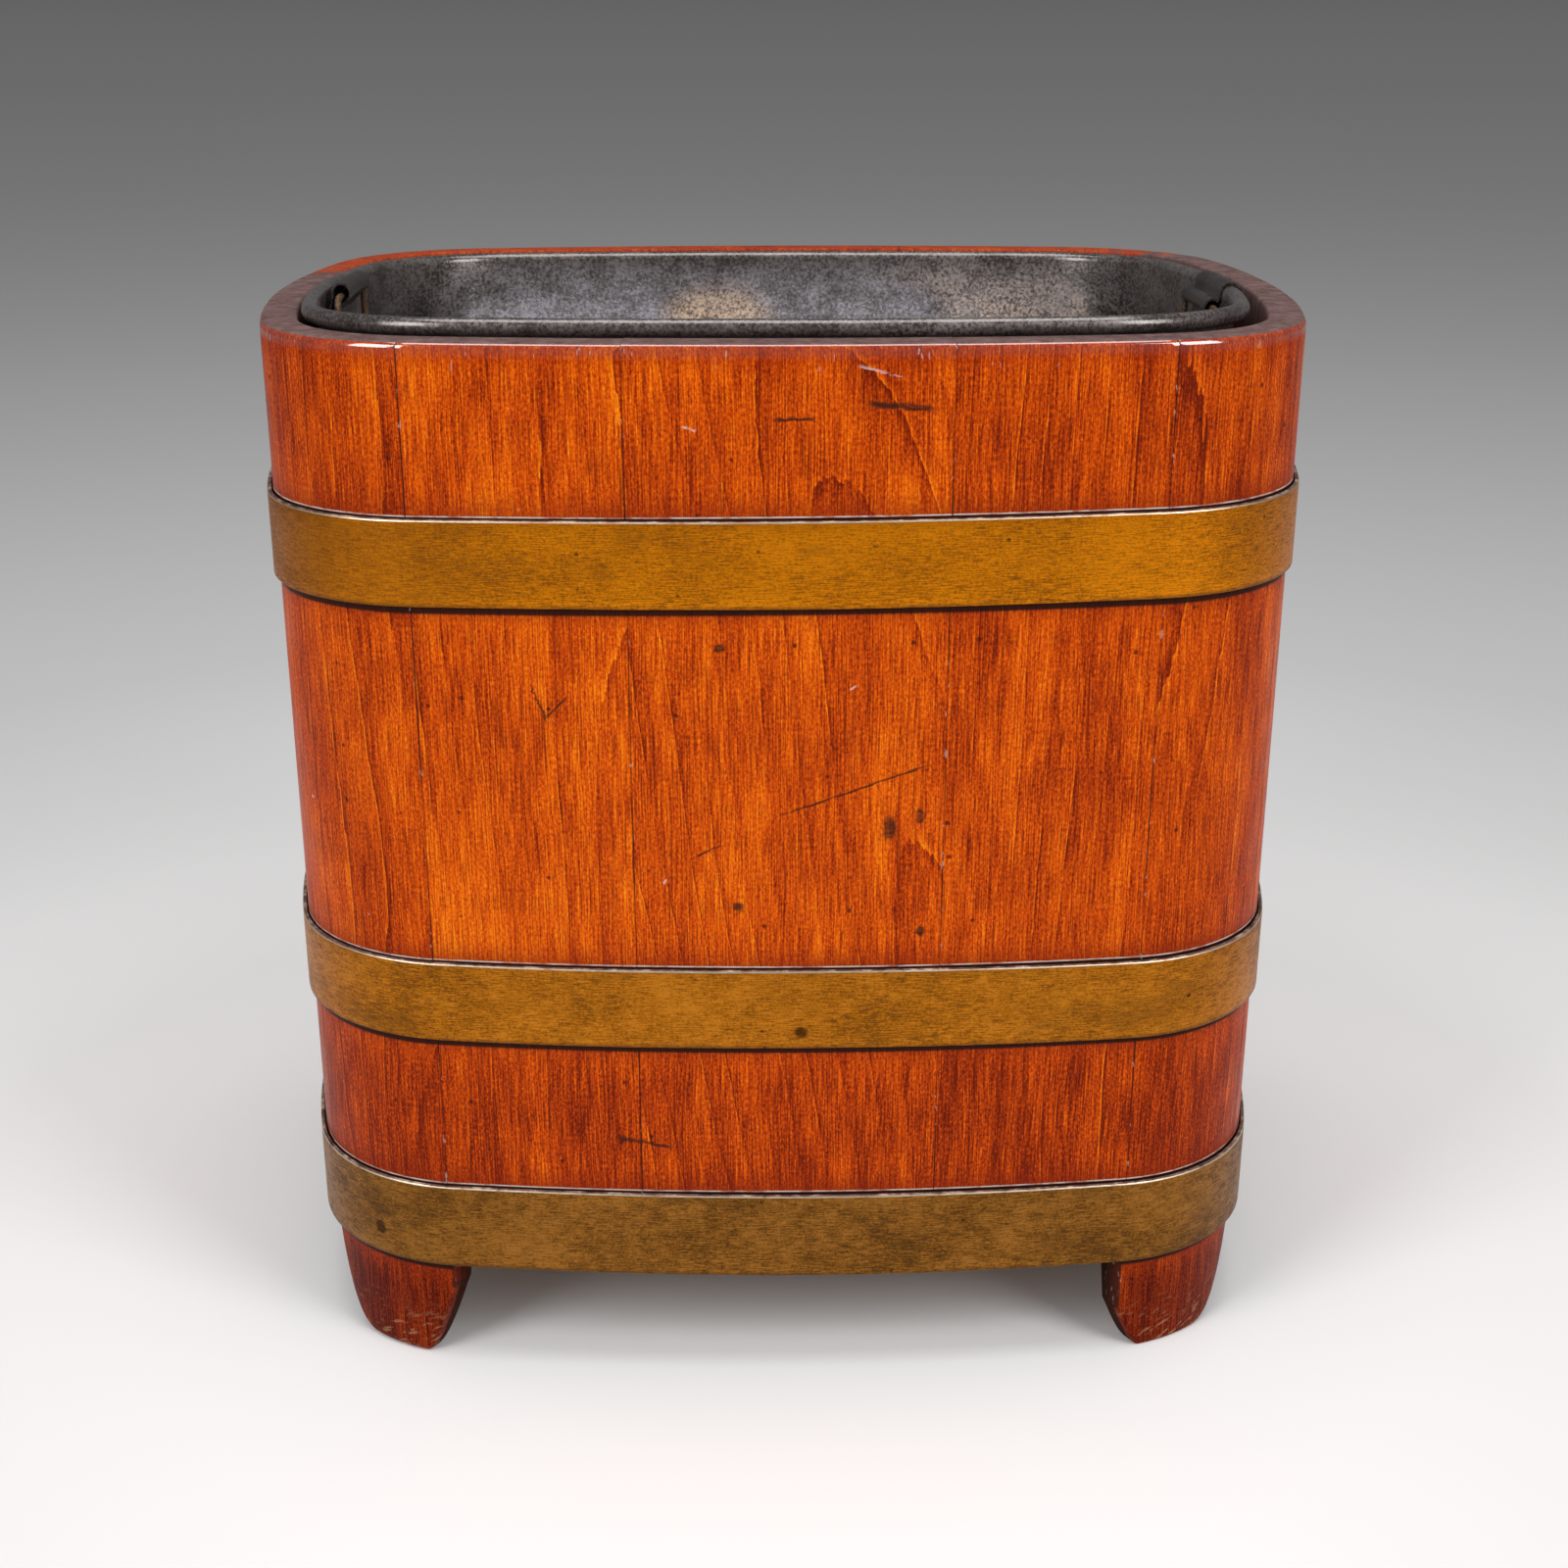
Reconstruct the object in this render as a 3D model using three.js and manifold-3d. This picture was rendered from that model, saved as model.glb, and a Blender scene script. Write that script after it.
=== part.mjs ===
// A coopered coal bin. Sixteen tapering hardwood staves stand round three base boards and are held by three
// riveted brass hoops; the four corner staves run on below the bottom hoop as feet. A sheet-iron liner with a
// wired rim lifts out by two wire drop handles, each held to an end of the liner by a riveted strap.
// Millimetres, +X along the width, -Y to the front, +Z up. The origin is on the floor, mid-plan.

import * as THREE from "three";
import { mergeVertices } from "three/addons/utils/BufferGeometryUtils.js";
import Module from "manifold-3d";

const wasm = await Module();
wasm.setup();

// Casing: the outside of the staves at the rim, and its width at the floor
const casingWidth = 380;
const casingDepth = 289;
const casingHeight = 382;
const casingFloorWidth = 370;
const casingFrontRadius = 983;
const casingEndRadius = 427;
const casingCornerRadius = 66;

// Staves: widths round the rim as shares of the casing's width, and of its depth for those of the ends; the
// corner staves take what is left
const staveWall = 13.5;
const middleStaveShare = 0.2868;
const sideStaveShare = 0.1947;
const endStaveShare = 0.2353;
const plainStaveBottom = 42;
const staveJointGap = 0.3;
const cornerJointSkew = 5;
const rimOuterRound = 2.4;
const rimInnerRound = 1;

// Feet: the wide sweep at the end side, the heel at the front or back side, the thin toe, and the height of
// sweep and heel at even steps across them
const footSweepWidth = 26;
const footSweepHeight = 36;
const leftHeelWidth = 13;
const leftHeelHeight = 29;
const rightHeelWidth = 9.5;
const rightHeelHeight = 17;
const footToeThickness = 8;
const footShoulderHeight = 44;
const sweepShares = [1, 0.57, 0.28, 0.1, 0.02, 0];
const heelShares = [1, 0.72, 0.46, 0.25, 0.09, 0];

// Base boards, let into a groove in the staves
const baseBottom = 49;
const baseThickness = 11;
const grooveDepth = 4.5;
const seatGap = 0.3;

// Hoops: strip width, and rise from left to right. The upper one lies this far below the rim, the lower edge
// of the middle one at a share of the height, and the lower one hangs this far below the plain staves.
const hoopThickness = 1.6;
const upperHoopDrop = 58;
const upperHoopWidth = 30;
const upperHoopRise = 2.6;
const middleHoopShare = 0.3455;
const middleHoopWidth = 30;
const middleHoopRise = -1.8;
const lowerHoopHang = 2.5;
const lowerHoopWidth = 33;
const lowerHoopRise = -1.8;
const hoopLap = 38;
const hoopLapRamp = 8;

// Hoop rivets: domed outside, countersunk flush inside
const hoopRivetShank = 1.8;
const hoopRivetHead = 3.6;
const hoopRivetDome = 1.5;
const hoopRivetSink = 1.1;
const rivetClearance = 0.3;

// Liner: the room between its wall and the staves at the rim's ends, at the rim's front and back and at the
// floor's ends, how far its rim lies below theirs, and how much tighter its plan's radii are
const linerEndRoom = 9;
const linerFrontRoom = 8;
const linerFloorRoom = 10.5;
const linerRimDrop = 0.7;
const linerFrontTighter = 23;
const linerEndTighter = 22;
const linerCornerTighter = 8;
const linerSheet = 0.8;
const linerShift = 2.4;
const linerProud = 5.8;
const rimCurlRadius = 3.1;
const rimCurlTurn = 302;
const linerBaseRaise = 9;
const linerBaseGap = 0.3;

// Handles and their straps
const strapSheet = 0.8;
const strapLength = 48;
const strapTail = 17;
const strapSlope = 7;
const leftLoopRadius = 3.65;
const leftLoopStandoff = 2.3;
const leftLoopCrown = 5;
const leftLoopSide = 1.5;
const rightLoopRadius = 3;
const rightLoopCrown = -1.6;
const rightHookTurn = 162;
const rightSaddleTurn = 270;
const strapRivetSpacing = 26;
const strapRivetShank = 1.5;
const strapRivetHead = 2.9;
const strapRivetDome = 1.3;
const strapRivetTail = 0.9;
const strapRivetTailRadius = 2.3;
const handleWireRadius = 1.25;
const handleTopWidth = 63;
const handleGripWidth = 74;
const handleDrop = 52;
const handleTopBend = 6;
const handleGripBend = 11;

// How finely curves are cut into facets
const facets = {
  front: 10, corner: 8, end: 8, round: 3, bead: 9, core: 6, curl: 8, rivet: 10, wire: 8, bend: 5,
};

// How far a cut runs past what it cuts, and how far in a sheet's sharpest bend is mitred
const cutOverrun = 5;
const leastMitreShare = 0.5;

const wood = (red, green, blue) =>
  new THREE.MeshStandardMaterial({ color: new THREE.Color(red, green, blue), roughness: 0.3, metalness: 0 });
const staveWood = wood(0.5, 0.12, 0.02);
const boardWood = wood(0.35, 0.15, 0.06);
const hoopBrass = new THREE.MeshStandardMaterial({ color: 0xa67c2e, roughness: 0.38, metalness: 1 });
const linerIron = new THREE.MeshStandardMaterial({ color: 0x2c2d30, roughness: 0.5, metalness: 0.8 });
const handleIron = new THREE.MeshStandardMaterial({ color: 0x7a5b42, roughness: 0.7, metalness: 0.6 });

// Sizes that follow from the others
const middleStaveWidth = casingWidth * middleStaveShare;
const sideStaveWidth = casingWidth * sideStaveShare;
const endStaveWidth = casingDepth * endStaveShare;
const upperHoopBottom = casingHeight - upperHoopDrop - upperHoopWidth;
const middleHoopBottom = casingHeight * middleHoopShare;
const lowerHoopBottom = plainStaveBottom - lowerHoopHang;
const linerFoot = baseBottom + baseThickness + seatGap;
const linerWidth = casingWidth - 2 * (staveWall + linerEndRoom);
const linerDepth = casingDepth - 2 * (staveWall + linerFrontRoom);
const linerBaseWidth = casingFloorWidth - 2 * (staveWall + linerFloorRoom);
const linerHeight = casingHeight - linerFoot - linerRimDrop;
const linerFrontRadius = casingFrontRadius - linerFrontTighter;
const linerEndRadius = casingEndRadius - linerEndTighter;
const linerCornerRadius = casingCornerRadius - linerCornerTighter;

const radians = THREE.MathUtils.degToRad;
const mix = (from, to, share) => from + (to - from) * share;
const polar = (centre, radius, angle) =>
  new THREE.Vector2(centre.x + radius * Math.cos(angle), centre.y + radius * Math.sin(angle));

// Points on an arc, both ends included, in as many steps as asked for.
function arcPoints(centre, radius, from, to, steps) {
  return Array.from({ length: steps + 1 }, (_, i) => polar(centre, radius, mix(from, to, i / steps)));
}

// Plan of a bin: front, back and ends are wide arcs that meet four corner arcs at a tangent. A station is a
// distance round the plan, counter-clockwise from the middle of the front.
function makePlan(width, depth, frontRadius, endRadius, cornerRadius) {
  const back = new THREE.Vector2(0, depth / 2 - frontRadius);
  const end = new THREE.Vector2(width / 2 - endRadius, 0);
  // The corner's centre is where circles round the two wide arcs' centres cross.
  const reach = new THREE.Vector2().subVectors(end, back);
  const fromBack = frontRadius - cornerRadius;
  const fromEnd = endRadius - cornerRadius;
  const along = (reach.lengthSq() + fromBack ** 2 - fromEnd ** 2) / (2 * reach.length());
  const aside = Math.sqrt(fromBack ** 2 - along ** 2);
  const unit = reach.clone().normalize();
  const corner = new THREE.Vector2(
    back.x + unit.x * along + unit.y * aside,
    back.y + unit.y * along - unit.x * aside,
  );
  const backAngle = new THREE.Vector2().subVectors(corner, back).angle();
  const endAngle = new THREE.Vector2().subVectors(corner, end).angle();
  const turn = Math.PI;
  const arc = (x, y, radius, from, to, steps) => ({ x, y, radius, from, to, steps });
  const arcs = [
    arc(0, -back.y, frontRadius, -turn / 2, -backAngle, facets.front / 2),
    arc(corner.x, -corner.y, cornerRadius, -backAngle, -endAngle, facets.corner),
    arc(end.x, 0, endRadius, -endAngle, endAngle, facets.end),
    arc(corner.x, corner.y, cornerRadius, endAngle, backAngle, facets.corner),
    arc(0, back.y, frontRadius, backAngle, turn - backAngle, facets.front),
    arc(-corner.x, corner.y, cornerRadius, turn - backAngle, turn - endAngle, facets.corner),
    arc(-end.x, 0, endRadius, turn - endAngle, turn + endAngle, facets.end),
    arc(-corner.x, -corner.y, cornerRadius, turn + endAngle, turn + backAngle, facets.corner),
    arc(0, -back.y, frontRadius, turn + backAngle, turn + turn / 2, facets.front / 2),
  ];
  let length = 0;
  const grid = [];
  for (const part of arcs) {
    part.start = length;
    part.length = part.radius * (part.to - part.from);
    for (let i = 0; i < part.steps; i++) grid.push(part.start + (part.length * i) / part.steps);
    length += part.length;
  }
  const place = (station, offset) => {
    const s = ((station % length) + length) % length;
    const part = arcs.find((a) => s < a.start + a.length) ?? arcs[arcs.length - 1];
    return polar(part, part.radius + offset, part.from + (s - part.start) / part.radius);
  };
  // The facet edges between two stations, and the two stations themselves.
  const between = (from, to, extra = []) => {
    const least = length / grid.length / facets.round / 2;
    const lap = Math.floor(from / length);
    const all = [...grid, ...grid.map((s) => s + length), ...grid.map((s) => s + 2 * length)];
    const fixed = [from, to, ...extra];
    const inner = all.map((s) => s + lap * length).filter((s) => s > from && s < to);
    const clear = inner.filter((s) => fixed.every((f) => Math.abs(s - f) > least));
    return [...fixed, ...clear].sort((a, b) => a - b);
  };
  return { length, grid, place, between };
}

// Staves and liner both narrow towards the bottom: the whole plan shrinks evenly with height.
const casingPlan = makePlan(casingWidth, casingDepth, casingFrontRadius, casingEndRadius, casingCornerRadius);
const linerPlan = makePlan(linerWidth, linerDepth, linerFrontRadius, linerEndRadius, linerCornerRadius);
const casingTaper = (z) => mix(casingFloorWidth / casingWidth, 1, z / casingHeight);
const linerTaper = (z) => mix(linerBaseWidth / linerWidth, 1, z / linerHeight);

function casingPoint(station, offset, z) {
  const flat = casingPlan.place(station, offset).multiplyScalar(casingTaper(z));
  return new THREE.Vector3(flat.x, flat.y, z);
}

// The liner's foot is level and its rim is not: the rim climbs towards the front.
const linerRimSlope = linerProud / linerDepth;

function linerPoint(station, offset, z) {
  const flat = linerPlan.place(station, offset).multiplyScalar(linerTaper(z));
  return new THREE.Vector3(flat.x, flat.y, z - (flat.y * linerRimSlope * z) / linerHeight);
}

// A closed solid from points and triangles, turned to face outwards.
function solid(points, triangles) {
  let volume = 0;
  for (const [a, b, c] of triangles) volume += points[a].dot(points[b].clone().cross(points[c]));
  const facing = volume < 0 ? triangles.map(([a, b, c]) => [a, c, b]) : triangles;
  const geometry = new THREE.BufferGeometry().setFromPoints(points);
  geometry.setIndex(facing.flat());
  return geometry;
}

// The triangles that fill a nearly flat closed row of points, as indices into the row.
function fillRow(row) {
  const normal = new THREE.Vector3();
  row.forEach((point, i) => normal.add(point.clone().cross(row[(i + 1) % row.length])));
  normal.normalize();
  const across = new THREE.Vector3().subVectors(row[1], row[0]).normalize();
  const up = new THREE.Vector3().crossVectors(normal, across);
  const flat = row.map((point) => new THREE.Vector2(point.dot(across), point.dot(up)));
  return THREE.ShapeUtils.triangulateShape(flat, []).map(([a, b, c]) => {
    const turn = flat[b].clone().sub(flat[a]).cross(flat[c].clone().sub(flat[a]));
    return turn < 0 ? [a, c, b] : [a, b, c];
  });
}

// A solid skinned over closed rows of points, each row as long as the next. A ring's last row meets its
// first; otherwise the first and last rows are filled.
function loft(rows, ring = false) {
  const count = rows[0].length;
  const triangles = [];
  const last = ring ? rows.length : rows.length - 1;
  for (let i = 0; i < last; i++) {
    const next = ((i + 1) % rows.length) * count;
    for (let j = 0; j < count; j++) {
      const k = (j + 1) % count;
      triangles.push([i * count + j, next + j, next + k], [i * count + j, next + k, i * count + k]);
    }
  }
  if (!ring) {
    const end = (rows.length - 1) * count;
    triangles.push(...fillRow(rows[0]));
    triangles.push(...fillRow(rows[rows.length - 1]).map(([a, b, c]) => [end + a, end + c, end + b]));
  }
  return solid(rows.flat(), triangles);
}

// The outline of a sheet of even thickness bent along a path.
function bentSheet(path, thickness) {
  const sides = [1, -1].map((side) =>
    path.map((point, i) => {
      const before = point.clone().sub(path[Math.max(i - 1, 0)]).normalize();
      const after = path[Math.min(i + 1, path.length - 1)].clone().sub(point).normalize();
      const mitre = before.clone().add(after).normalize();
      const lean = Math.max(mitre.dot(i ? before : after), leastMitreShare);
      return new THREE.Vector2(-mitre.y, mitre.x).multiplyScalar((side * thickness) / 2 / lean).add(point);
    }),
  );
  return [...sides[0], ...sides[1].reverse()];
}

function toSolid(geometry) {
  const bare = geometry.clone();
  bare.deleteAttribute("normal");
  bare.deleteAttribute("uv");
  const merged = mergeVertices(bare);
  const vertProperties = new Float32Array(merged.attributes.position.array);
  return new wasm.Manifold(
    new wasm.Mesh({ numProp: 3, vertProperties, triVerts: new Uint32Array(merged.index.array) }),
  );
}

function fromSolid(cut) {
  const mesh = cut.getMesh();
  const geometry = new THREE.BufferGeometry();
  geometry.setAttribute("position", new THREE.BufferAttribute(new Float32Array(mesh.vertProperties), 3));
  return geometry.setIndex(new THREE.BufferAttribute(new Uint32Array(mesh.triVerts), 1));
}

const cutFrom = (geometry, tools) =>
  fromSolid(tools.reduce((left, tool) => left.subtract(toSolid(tool)), toSolid(geometry)));

function addPiece(group, name, geometry, material) {
  const flat = geometry.index ? geometry.toNonIndexed() : geometry;
  flat.computeVertexNormals();
  const mesh = new THREE.Mesh(flat, material);
  mesh.name = name;
  group.add(mesh);
  return mesh;
}

// Joints between staves. A corner stave's joints lean away from it across the wall, so that it is cut as a
// wedge; `lean` is how far the joint's inner edge lies past its outer edge.
function staveJoints() {
  const quarter = casingPlan.length / 4;
  const ofQuarter = [
    { at: middleStaveWidth / 2, lean: 0 },
    { at: middleStaveWidth / 2 + sideStaveWidth, lean: -cornerJointSkew },
    { at: quarter - endStaveWidth / 2 - endStaveWidth, lean: cornerJointSkew },
    { at: quarter - endStaveWidth / 2, lean: 0 },
  ];
  const mirrored = ofQuarter.map(({ at, lean }) => ({ at: -at, lean: -lean }));
  const turned = (joints, by) => joints.map(({ at, lean }) => ({ at: at + by, lean }));
  return [
    ...turned(ofQuarter, 0),
    ...turned(mirrored, 2 * quarter),
    ...turned(ofQuarter, 2 * quarter),
    ...turned(mirrored, 4 * quarter),
  ].sort((a, b) => a.at - b.at);
}

// The two sweeps that shape a foot's sole, at its start joint and at its finish joint.
function footSweeps(footSide) {
  const outer = { width: footSweepWidth, height: footSweepHeight, shares: sweepShares };
  const heel = footSide.startsWith("left")
    ? { width: leftHeelWidth, height: leftHeelHeight, shares: heelShares }
    : { width: rightHeelWidth, height: rightHeelHeight, shares: heelShares };
  return footSide.endsWith("start") ? [outer, heel] : [heel, outer];
}

const sweepSteps = ({ width, shares }) => shares.map((_, i) => (width * i) / (shares.length - 1)).slice(1);

function sweepHeight({ width, height, shares }, distance) {
  const step = THREE.MathUtils.clamp(distance / width, 0, 1) * (shares.length - 1);
  const below = Math.min(Math.floor(step), shares.length - 2);
  return height * mix(shares[below], shares[below + 1], step - below);
}

// Upright section of a stave as depth in from the outside against height: rounded rim, groove for the base.
function staveSection(bottom, isFoot) {
  const roundCentre = new THREE.Vector2(rimOuterRound, casingHeight - rimOuterRound);
  const round = arcPoints(roundCentre, rimOuterRound, Math.PI, Math.PI / 2, facets.round);
  const groove = [
    [staveWall, baseBottom + baseThickness + seatGap],
    [staveWall - grooveDepth, baseBottom + baseThickness + seatGap],
    [staveWall - grooveDepth, baseBottom - seatGap],
    [staveWall, baseBottom - seatGap],
  ];
  const bevel = mix(footToeThickness, staveWall, bottom / footShoulderHeight);
  const inside = isFoot ? [[staveWall, footShoulderHeight], [bevel, bottom]] : [[staveWall, bottom]];
  return [
    [0, bottom],
    ...round.map((point) => [point.x, point.y]),
    [staveWall - rimInnerRound, casingHeight],
    [staveWall, casingHeight - rimInnerRound],
    ...groove,
    ...inside,
  ];
}

// `footSide` is "left" or "right" and the joint, "start" or "finish", where a foot's wide sweep lies. A plain
// stave has none.
function stave(from, to, footSide) {
  const start = from.at + staveJointGap / 2;
  const finish = to.at - staveJointGap / 2;
  const sweeps = footSide ? footSweeps(footSide) : [];
  const extra = sweeps.flatMap((sweep, end) => sweepSteps(sweep).map((d) => (end ? finish - d : start + d)));
  const rows = casingPlan.between(start, finish, extra).map((station) => {
    const distances = [station - start, finish - station];
    const sole = Math.max(...sweeps.map((sweep, end) => sweepHeight(sweep, distances[end])));
    const share = distances[0] / (finish - start);
    return staveSection(footSide ? sole : plainStaveBottom, Boolean(footSide)).map(([depth, z]) =>
      casingPoint(station + (mix(from.lean, to.lean, share) * depth) / staveWall, -depth, z),
    );
  });
  return loft(rows);
}

function addStaves(group) {
  const joints = staveJoints();
  const names = [
    "front_right", "corner_front_right", "end_right_front", "end_right_middle", "end_right_back",
    "corner_back_right", "back_right", "back_middle", "back_left", "corner_back_left", "end_left_back",
    "end_left_middle", "end_left_front", "corner_front_left", "front_left", "front_middle",
  ];
  const footSides = {
    corner_front_right: "right finish",
    corner_back_right: "right start",
    corner_back_left: "left finish",
    corner_front_left: "left start",
  };
  names.forEach((name, i) => {
    const next = joints[(i + 1) % joints.length];
    const to = i + 1 < joints.length ? next : { at: next.at + casingPlan.length, lean: next.lean };
    addPiece(group, `stave_${name}`, stave(joints[i], to, footSides[name]), staveWood);
  });
}

// Three boards side by side, cut to the plan and let into the groove.
function addBaseBoards(group) {
  const inset = staveWall - grooveDepth + seatGap;
  const taper = casingTaper(baseBottom);
  const outline = casingPlan.grid.map((s) => casingPlan.place(s, -inset).multiplyScalar(taper));
  const shape = new THREE.Shape(outline);
  const plate = new THREE.ExtrudeGeometry(shape, { depth: baseThickness, bevelEnabled: false });
  plate.translate(0, 0, baseBottom);
  const depth = (casingDepth - 2 * inset) * taper;
  ["front", "middle", "back"].forEach((name, i) => {
    const strip = new THREE.BoxGeometry(casingWidth, depth / 3 - staveJointGap, baseThickness + cutOverrun);
    strip.translate(0, (i - 1) * (depth / 3), baseBottom + baseThickness / 2);
    const board = toSolid(plate).intersect(toSolid(strip));
    addPiece(group, `base_board_${name}`, fromSolid(board), boardWood);
  });
}

// Lathe profile of a rivet, its tail at the origin and its domed head past the grip.
function rivetGeometry(tail, grip, shank, head, dome) {
  const domeRound = Array.from({ length: facets.round + 1 }, (_, i) => {
    const angle = (Math.PI / 2) * (i / facets.round);
    return new THREE.Vector2(i < facets.round ? head * Math.cos(angle) : 0, grip + dome * Math.sin(angle));
  });
  const profile = [...tail, new THREE.Vector2(shank, grip), ...domeRound];
  return new THREE.LatheGeometry(profile, facets.rivet);
}

// Stands a lathe geometry, whose axis is Y, on a point with its axis along a direction.
function standOn(geometry, point, direction) {
  const turn = new THREE.Quaternion().setFromUnitVectors(new THREE.Vector3(0, 1, 0), direction);
  return geometry.applyQuaternion(turn).translate(point.x, point.y, point.z);
}

const bore = (radius, from, to) =>
  new THREE.CylinderGeometry(radius, radius, to - from, facets.rivet).translate(0, (from + to) / 2, 0);

// A strip driven onto the staves, whose end steps up over its start at the middle of the back.
function addHoop(group, name, bottom, width, rise) {
  const start = casingPlan.length / 2 - hoopLap / 2;
  const lapStart = start + casingPlan.length;
  const finish = lapStart + hoopLap;
  const step = hoopThickness + seatGap;
  const heightAt = (station) => bottom + (rise * casingPlan.place(station, 0).x) / casingWidth;
  const offsetAt = (station) =>
    seatGap + step * THREE.MathUtils.clamp((station - lapStart + hoopLapRamp) / hoopLapRamp, 0, 1);
  const rows = casingPlan.between(start, finish, [lapStart - hoopLapRamp, lapStart]).map((station) => {
    const [inner, z] = [offsetAt(station), heightAt(station)];
    const outer = inner + hoopThickness;
    return [[inner, z], [outer, z], [outer, z + width], [inner, z + width]].map(([offset, height]) =>
      casingPoint(station, offset, height),
    );
  });
  const rivets = [1, 2].map((i) => {
    const station = start + (hoopLap * i) / 3;
    const height = heightAt(station) + width / 2;
    const foot = casingPoint(station, seatGap, height);
    const reach = casingPoint(station, seatGap + step + hoopThickness, height).sub(foot);
    return { foot, direction: reach.clone().normalize(), grip: reach.length() + seatGap };
  });
  const sinkWidth = hoopRivetShank + hoopRivetSink;
  const tail = [
    new THREE.Vector2(0, 0),
    new THREE.Vector2(sinkWidth, 0),
    new THREE.Vector2(hoopRivetShank, hoopRivetSink),
  ];
  const holes = rivets.flatMap(({ foot, direction, grip }) => {
    const hole = bore(hoopRivetShank + rivetClearance, -cutOverrun, grip + cutOverrun);
    const sink = new THREE.CylinderGeometry(
      hoopRivetShank, sinkWidth + 2 * rivetClearance, hoopRivetSink + 2 * rivetClearance, facets.rivet,
    ).translate(0, hoopRivetSink / 2, 0);
    return [standOn(hole, foot, direction), standOn(sink, foot, direction)];
  });
  addPiece(group, `hoop_${name}`, cutFrom(loft(rows), holes), hoopBrass);
  rivets.forEach(({ foot, direction, grip }, i) => {
    const rivet = rivetGeometry(tail, grip, hoopRivetShank, hoopRivetHead, hoopRivetDome);
    addPiece(group, `hoop_${name}_rivet_${["right", "left"][i]}`, standOn(rivet, foot, direction), hoopBrass);
  });
}

// Where the parts of a handle lie on an end of the liner, as distance in from the wall against height.
const inwards = (x, y) => new THREE.Vector2(x, y);
const loopMiddle = (radius) => radius - strapSheet / 2;

// Left strap: doubled sheet, both plies riveted to the wall, opened at the top into a loop for the handle.
function leftStrap() {
  const radius = loopMiddle(leftLoopRadius);
  const crown = linerHeight + leftLoopCrown;
  const centre = inwards(leftLoopStandoff + leftLoopRadius, crown - leftLoopRadius);
  const sideBottom = centre.y - leftLoopSide;
  const slopeBottom = sideBottom - strapSlope;
  const outerPly = seatGap + strapSheet / 2;
  const innerPly = outerPly + strapSheet + seatGap;
  const path = [
    inwards(outerPly, slopeBottom - strapTail),
    inwards(outerPly, slopeBottom),
    inwards(centre.x - radius, sideBottom),
    ...arcPoints(centre, radius, Math.PI, 0, facets.curl),
    inwards(centre.x + radius, sideBottom),
    inwards(innerPly, slopeBottom),
    inwards(innerPly, slopeBottom - strapTail),
  ];
  return {
    path,
    pivot: inwards(centre.x, centre.y - leftLoopSide),
    rivetHeight: slopeBottom - strapTail / 2,
    grip: innerPly + strapSheet / 2 + linerSheet,
  };
}

// Right strap: one ply hooked over the rolled rim, with a saddle pressed in it that holds the handle.
function rightStrap() {
  const radius = loopMiddle(rightLoopRadius);
  const ply = seatGap + strapSheet / 2;
  const curl = inwards(-rimCurlRadius, linerHeight);
  const hookRadius = rimCurlRadius + seatGap + strapSheet / 2;
  const centre = inwards(seatGap + rightLoopRadius, linerHeight + rightLoopCrown - rightLoopRadius);
  const saddleEnd = radians(rightSaddleTurn) / 2;
  const flare = radius + strapSheet;
  const path = [
    ...arcPoints(curl, hookRadius, radians(rightHookTurn), 0, facets.curl),
    inwards(ply, centre.y + flare),
    ...arcPoints(centre, radius, saddleEnd, -saddleEnd, facets.curl),
    inwards(ply, centre.y - flare),
    inwards(ply, centre.y - flare - strapSlope - strapTail),
  ];
  return {
    path,
    pivot: inwards(centre.x, centre.y - (rightLoopRadius - strapSheet - handleWireRadius - seatGap)),
    rivetHeight: centre.y - flare - strapSlope - strapTail / 2,
    grip: ply + strapSheet / 2 + linerSheet,
  };
}

// A wire ring: straight through its strap, down two legs and along the grip, every bend an arc.
function handleGeometry() {
  const corners = [
    { y: -handleTopWidth / 2, z: 0, bend: handleTopBend },
    { y: handleTopWidth / 2, z: 0, bend: handleTopBend },
    { y: handleGripWidth / 2, z: -handleDrop, bend: handleGripBend },
    { y: -handleGripWidth / 2, z: -handleDrop, bend: handleGripBend },
  ].map(({ y, z, bend }) => ({ at: new THREE.Vector2(y, z), bend }));
  const path = corners.flatMap(({ at, bend }, i) => {
    const before = corners[(i + 3) % 4].at.clone().sub(at).normalize();
    const after = corners[(i + 1) % 4].at.clone().sub(at).normalize();
    const half = Math.acos(before.dot(after)) / 2;
    const centre = before.clone().add(after).normalize().multiplyScalar(bend / Math.sin(half)).add(at);
    const start = at.clone().addScaledVector(before, bend / Math.tan(half)).sub(centre).angle();
    return arcPoints(centre, bend, start, start - (Math.PI - 2 * half), facets.bend);
  });
  const rows = path.map((point, i) => {
    const previous = path[(i + path.length - 1) % path.length];
    const next = path[(i + 1) % path.length];
    const tangent = next.clone().sub(previous).normalize();
    return Array.from({ length: facets.wire }, (_, k) => {
      const angle = (2 * Math.PI * k) / facets.wire;
      const out = handleWireRadius * Math.cos(angle);
      return new THREE.Vector3(
        handleWireRadius * Math.sin(angle),
        point.x - tangent.y * out,
        point.y + tangent.x * out,
      );
    });
  });
  return loft(rows, true);
}

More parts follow.
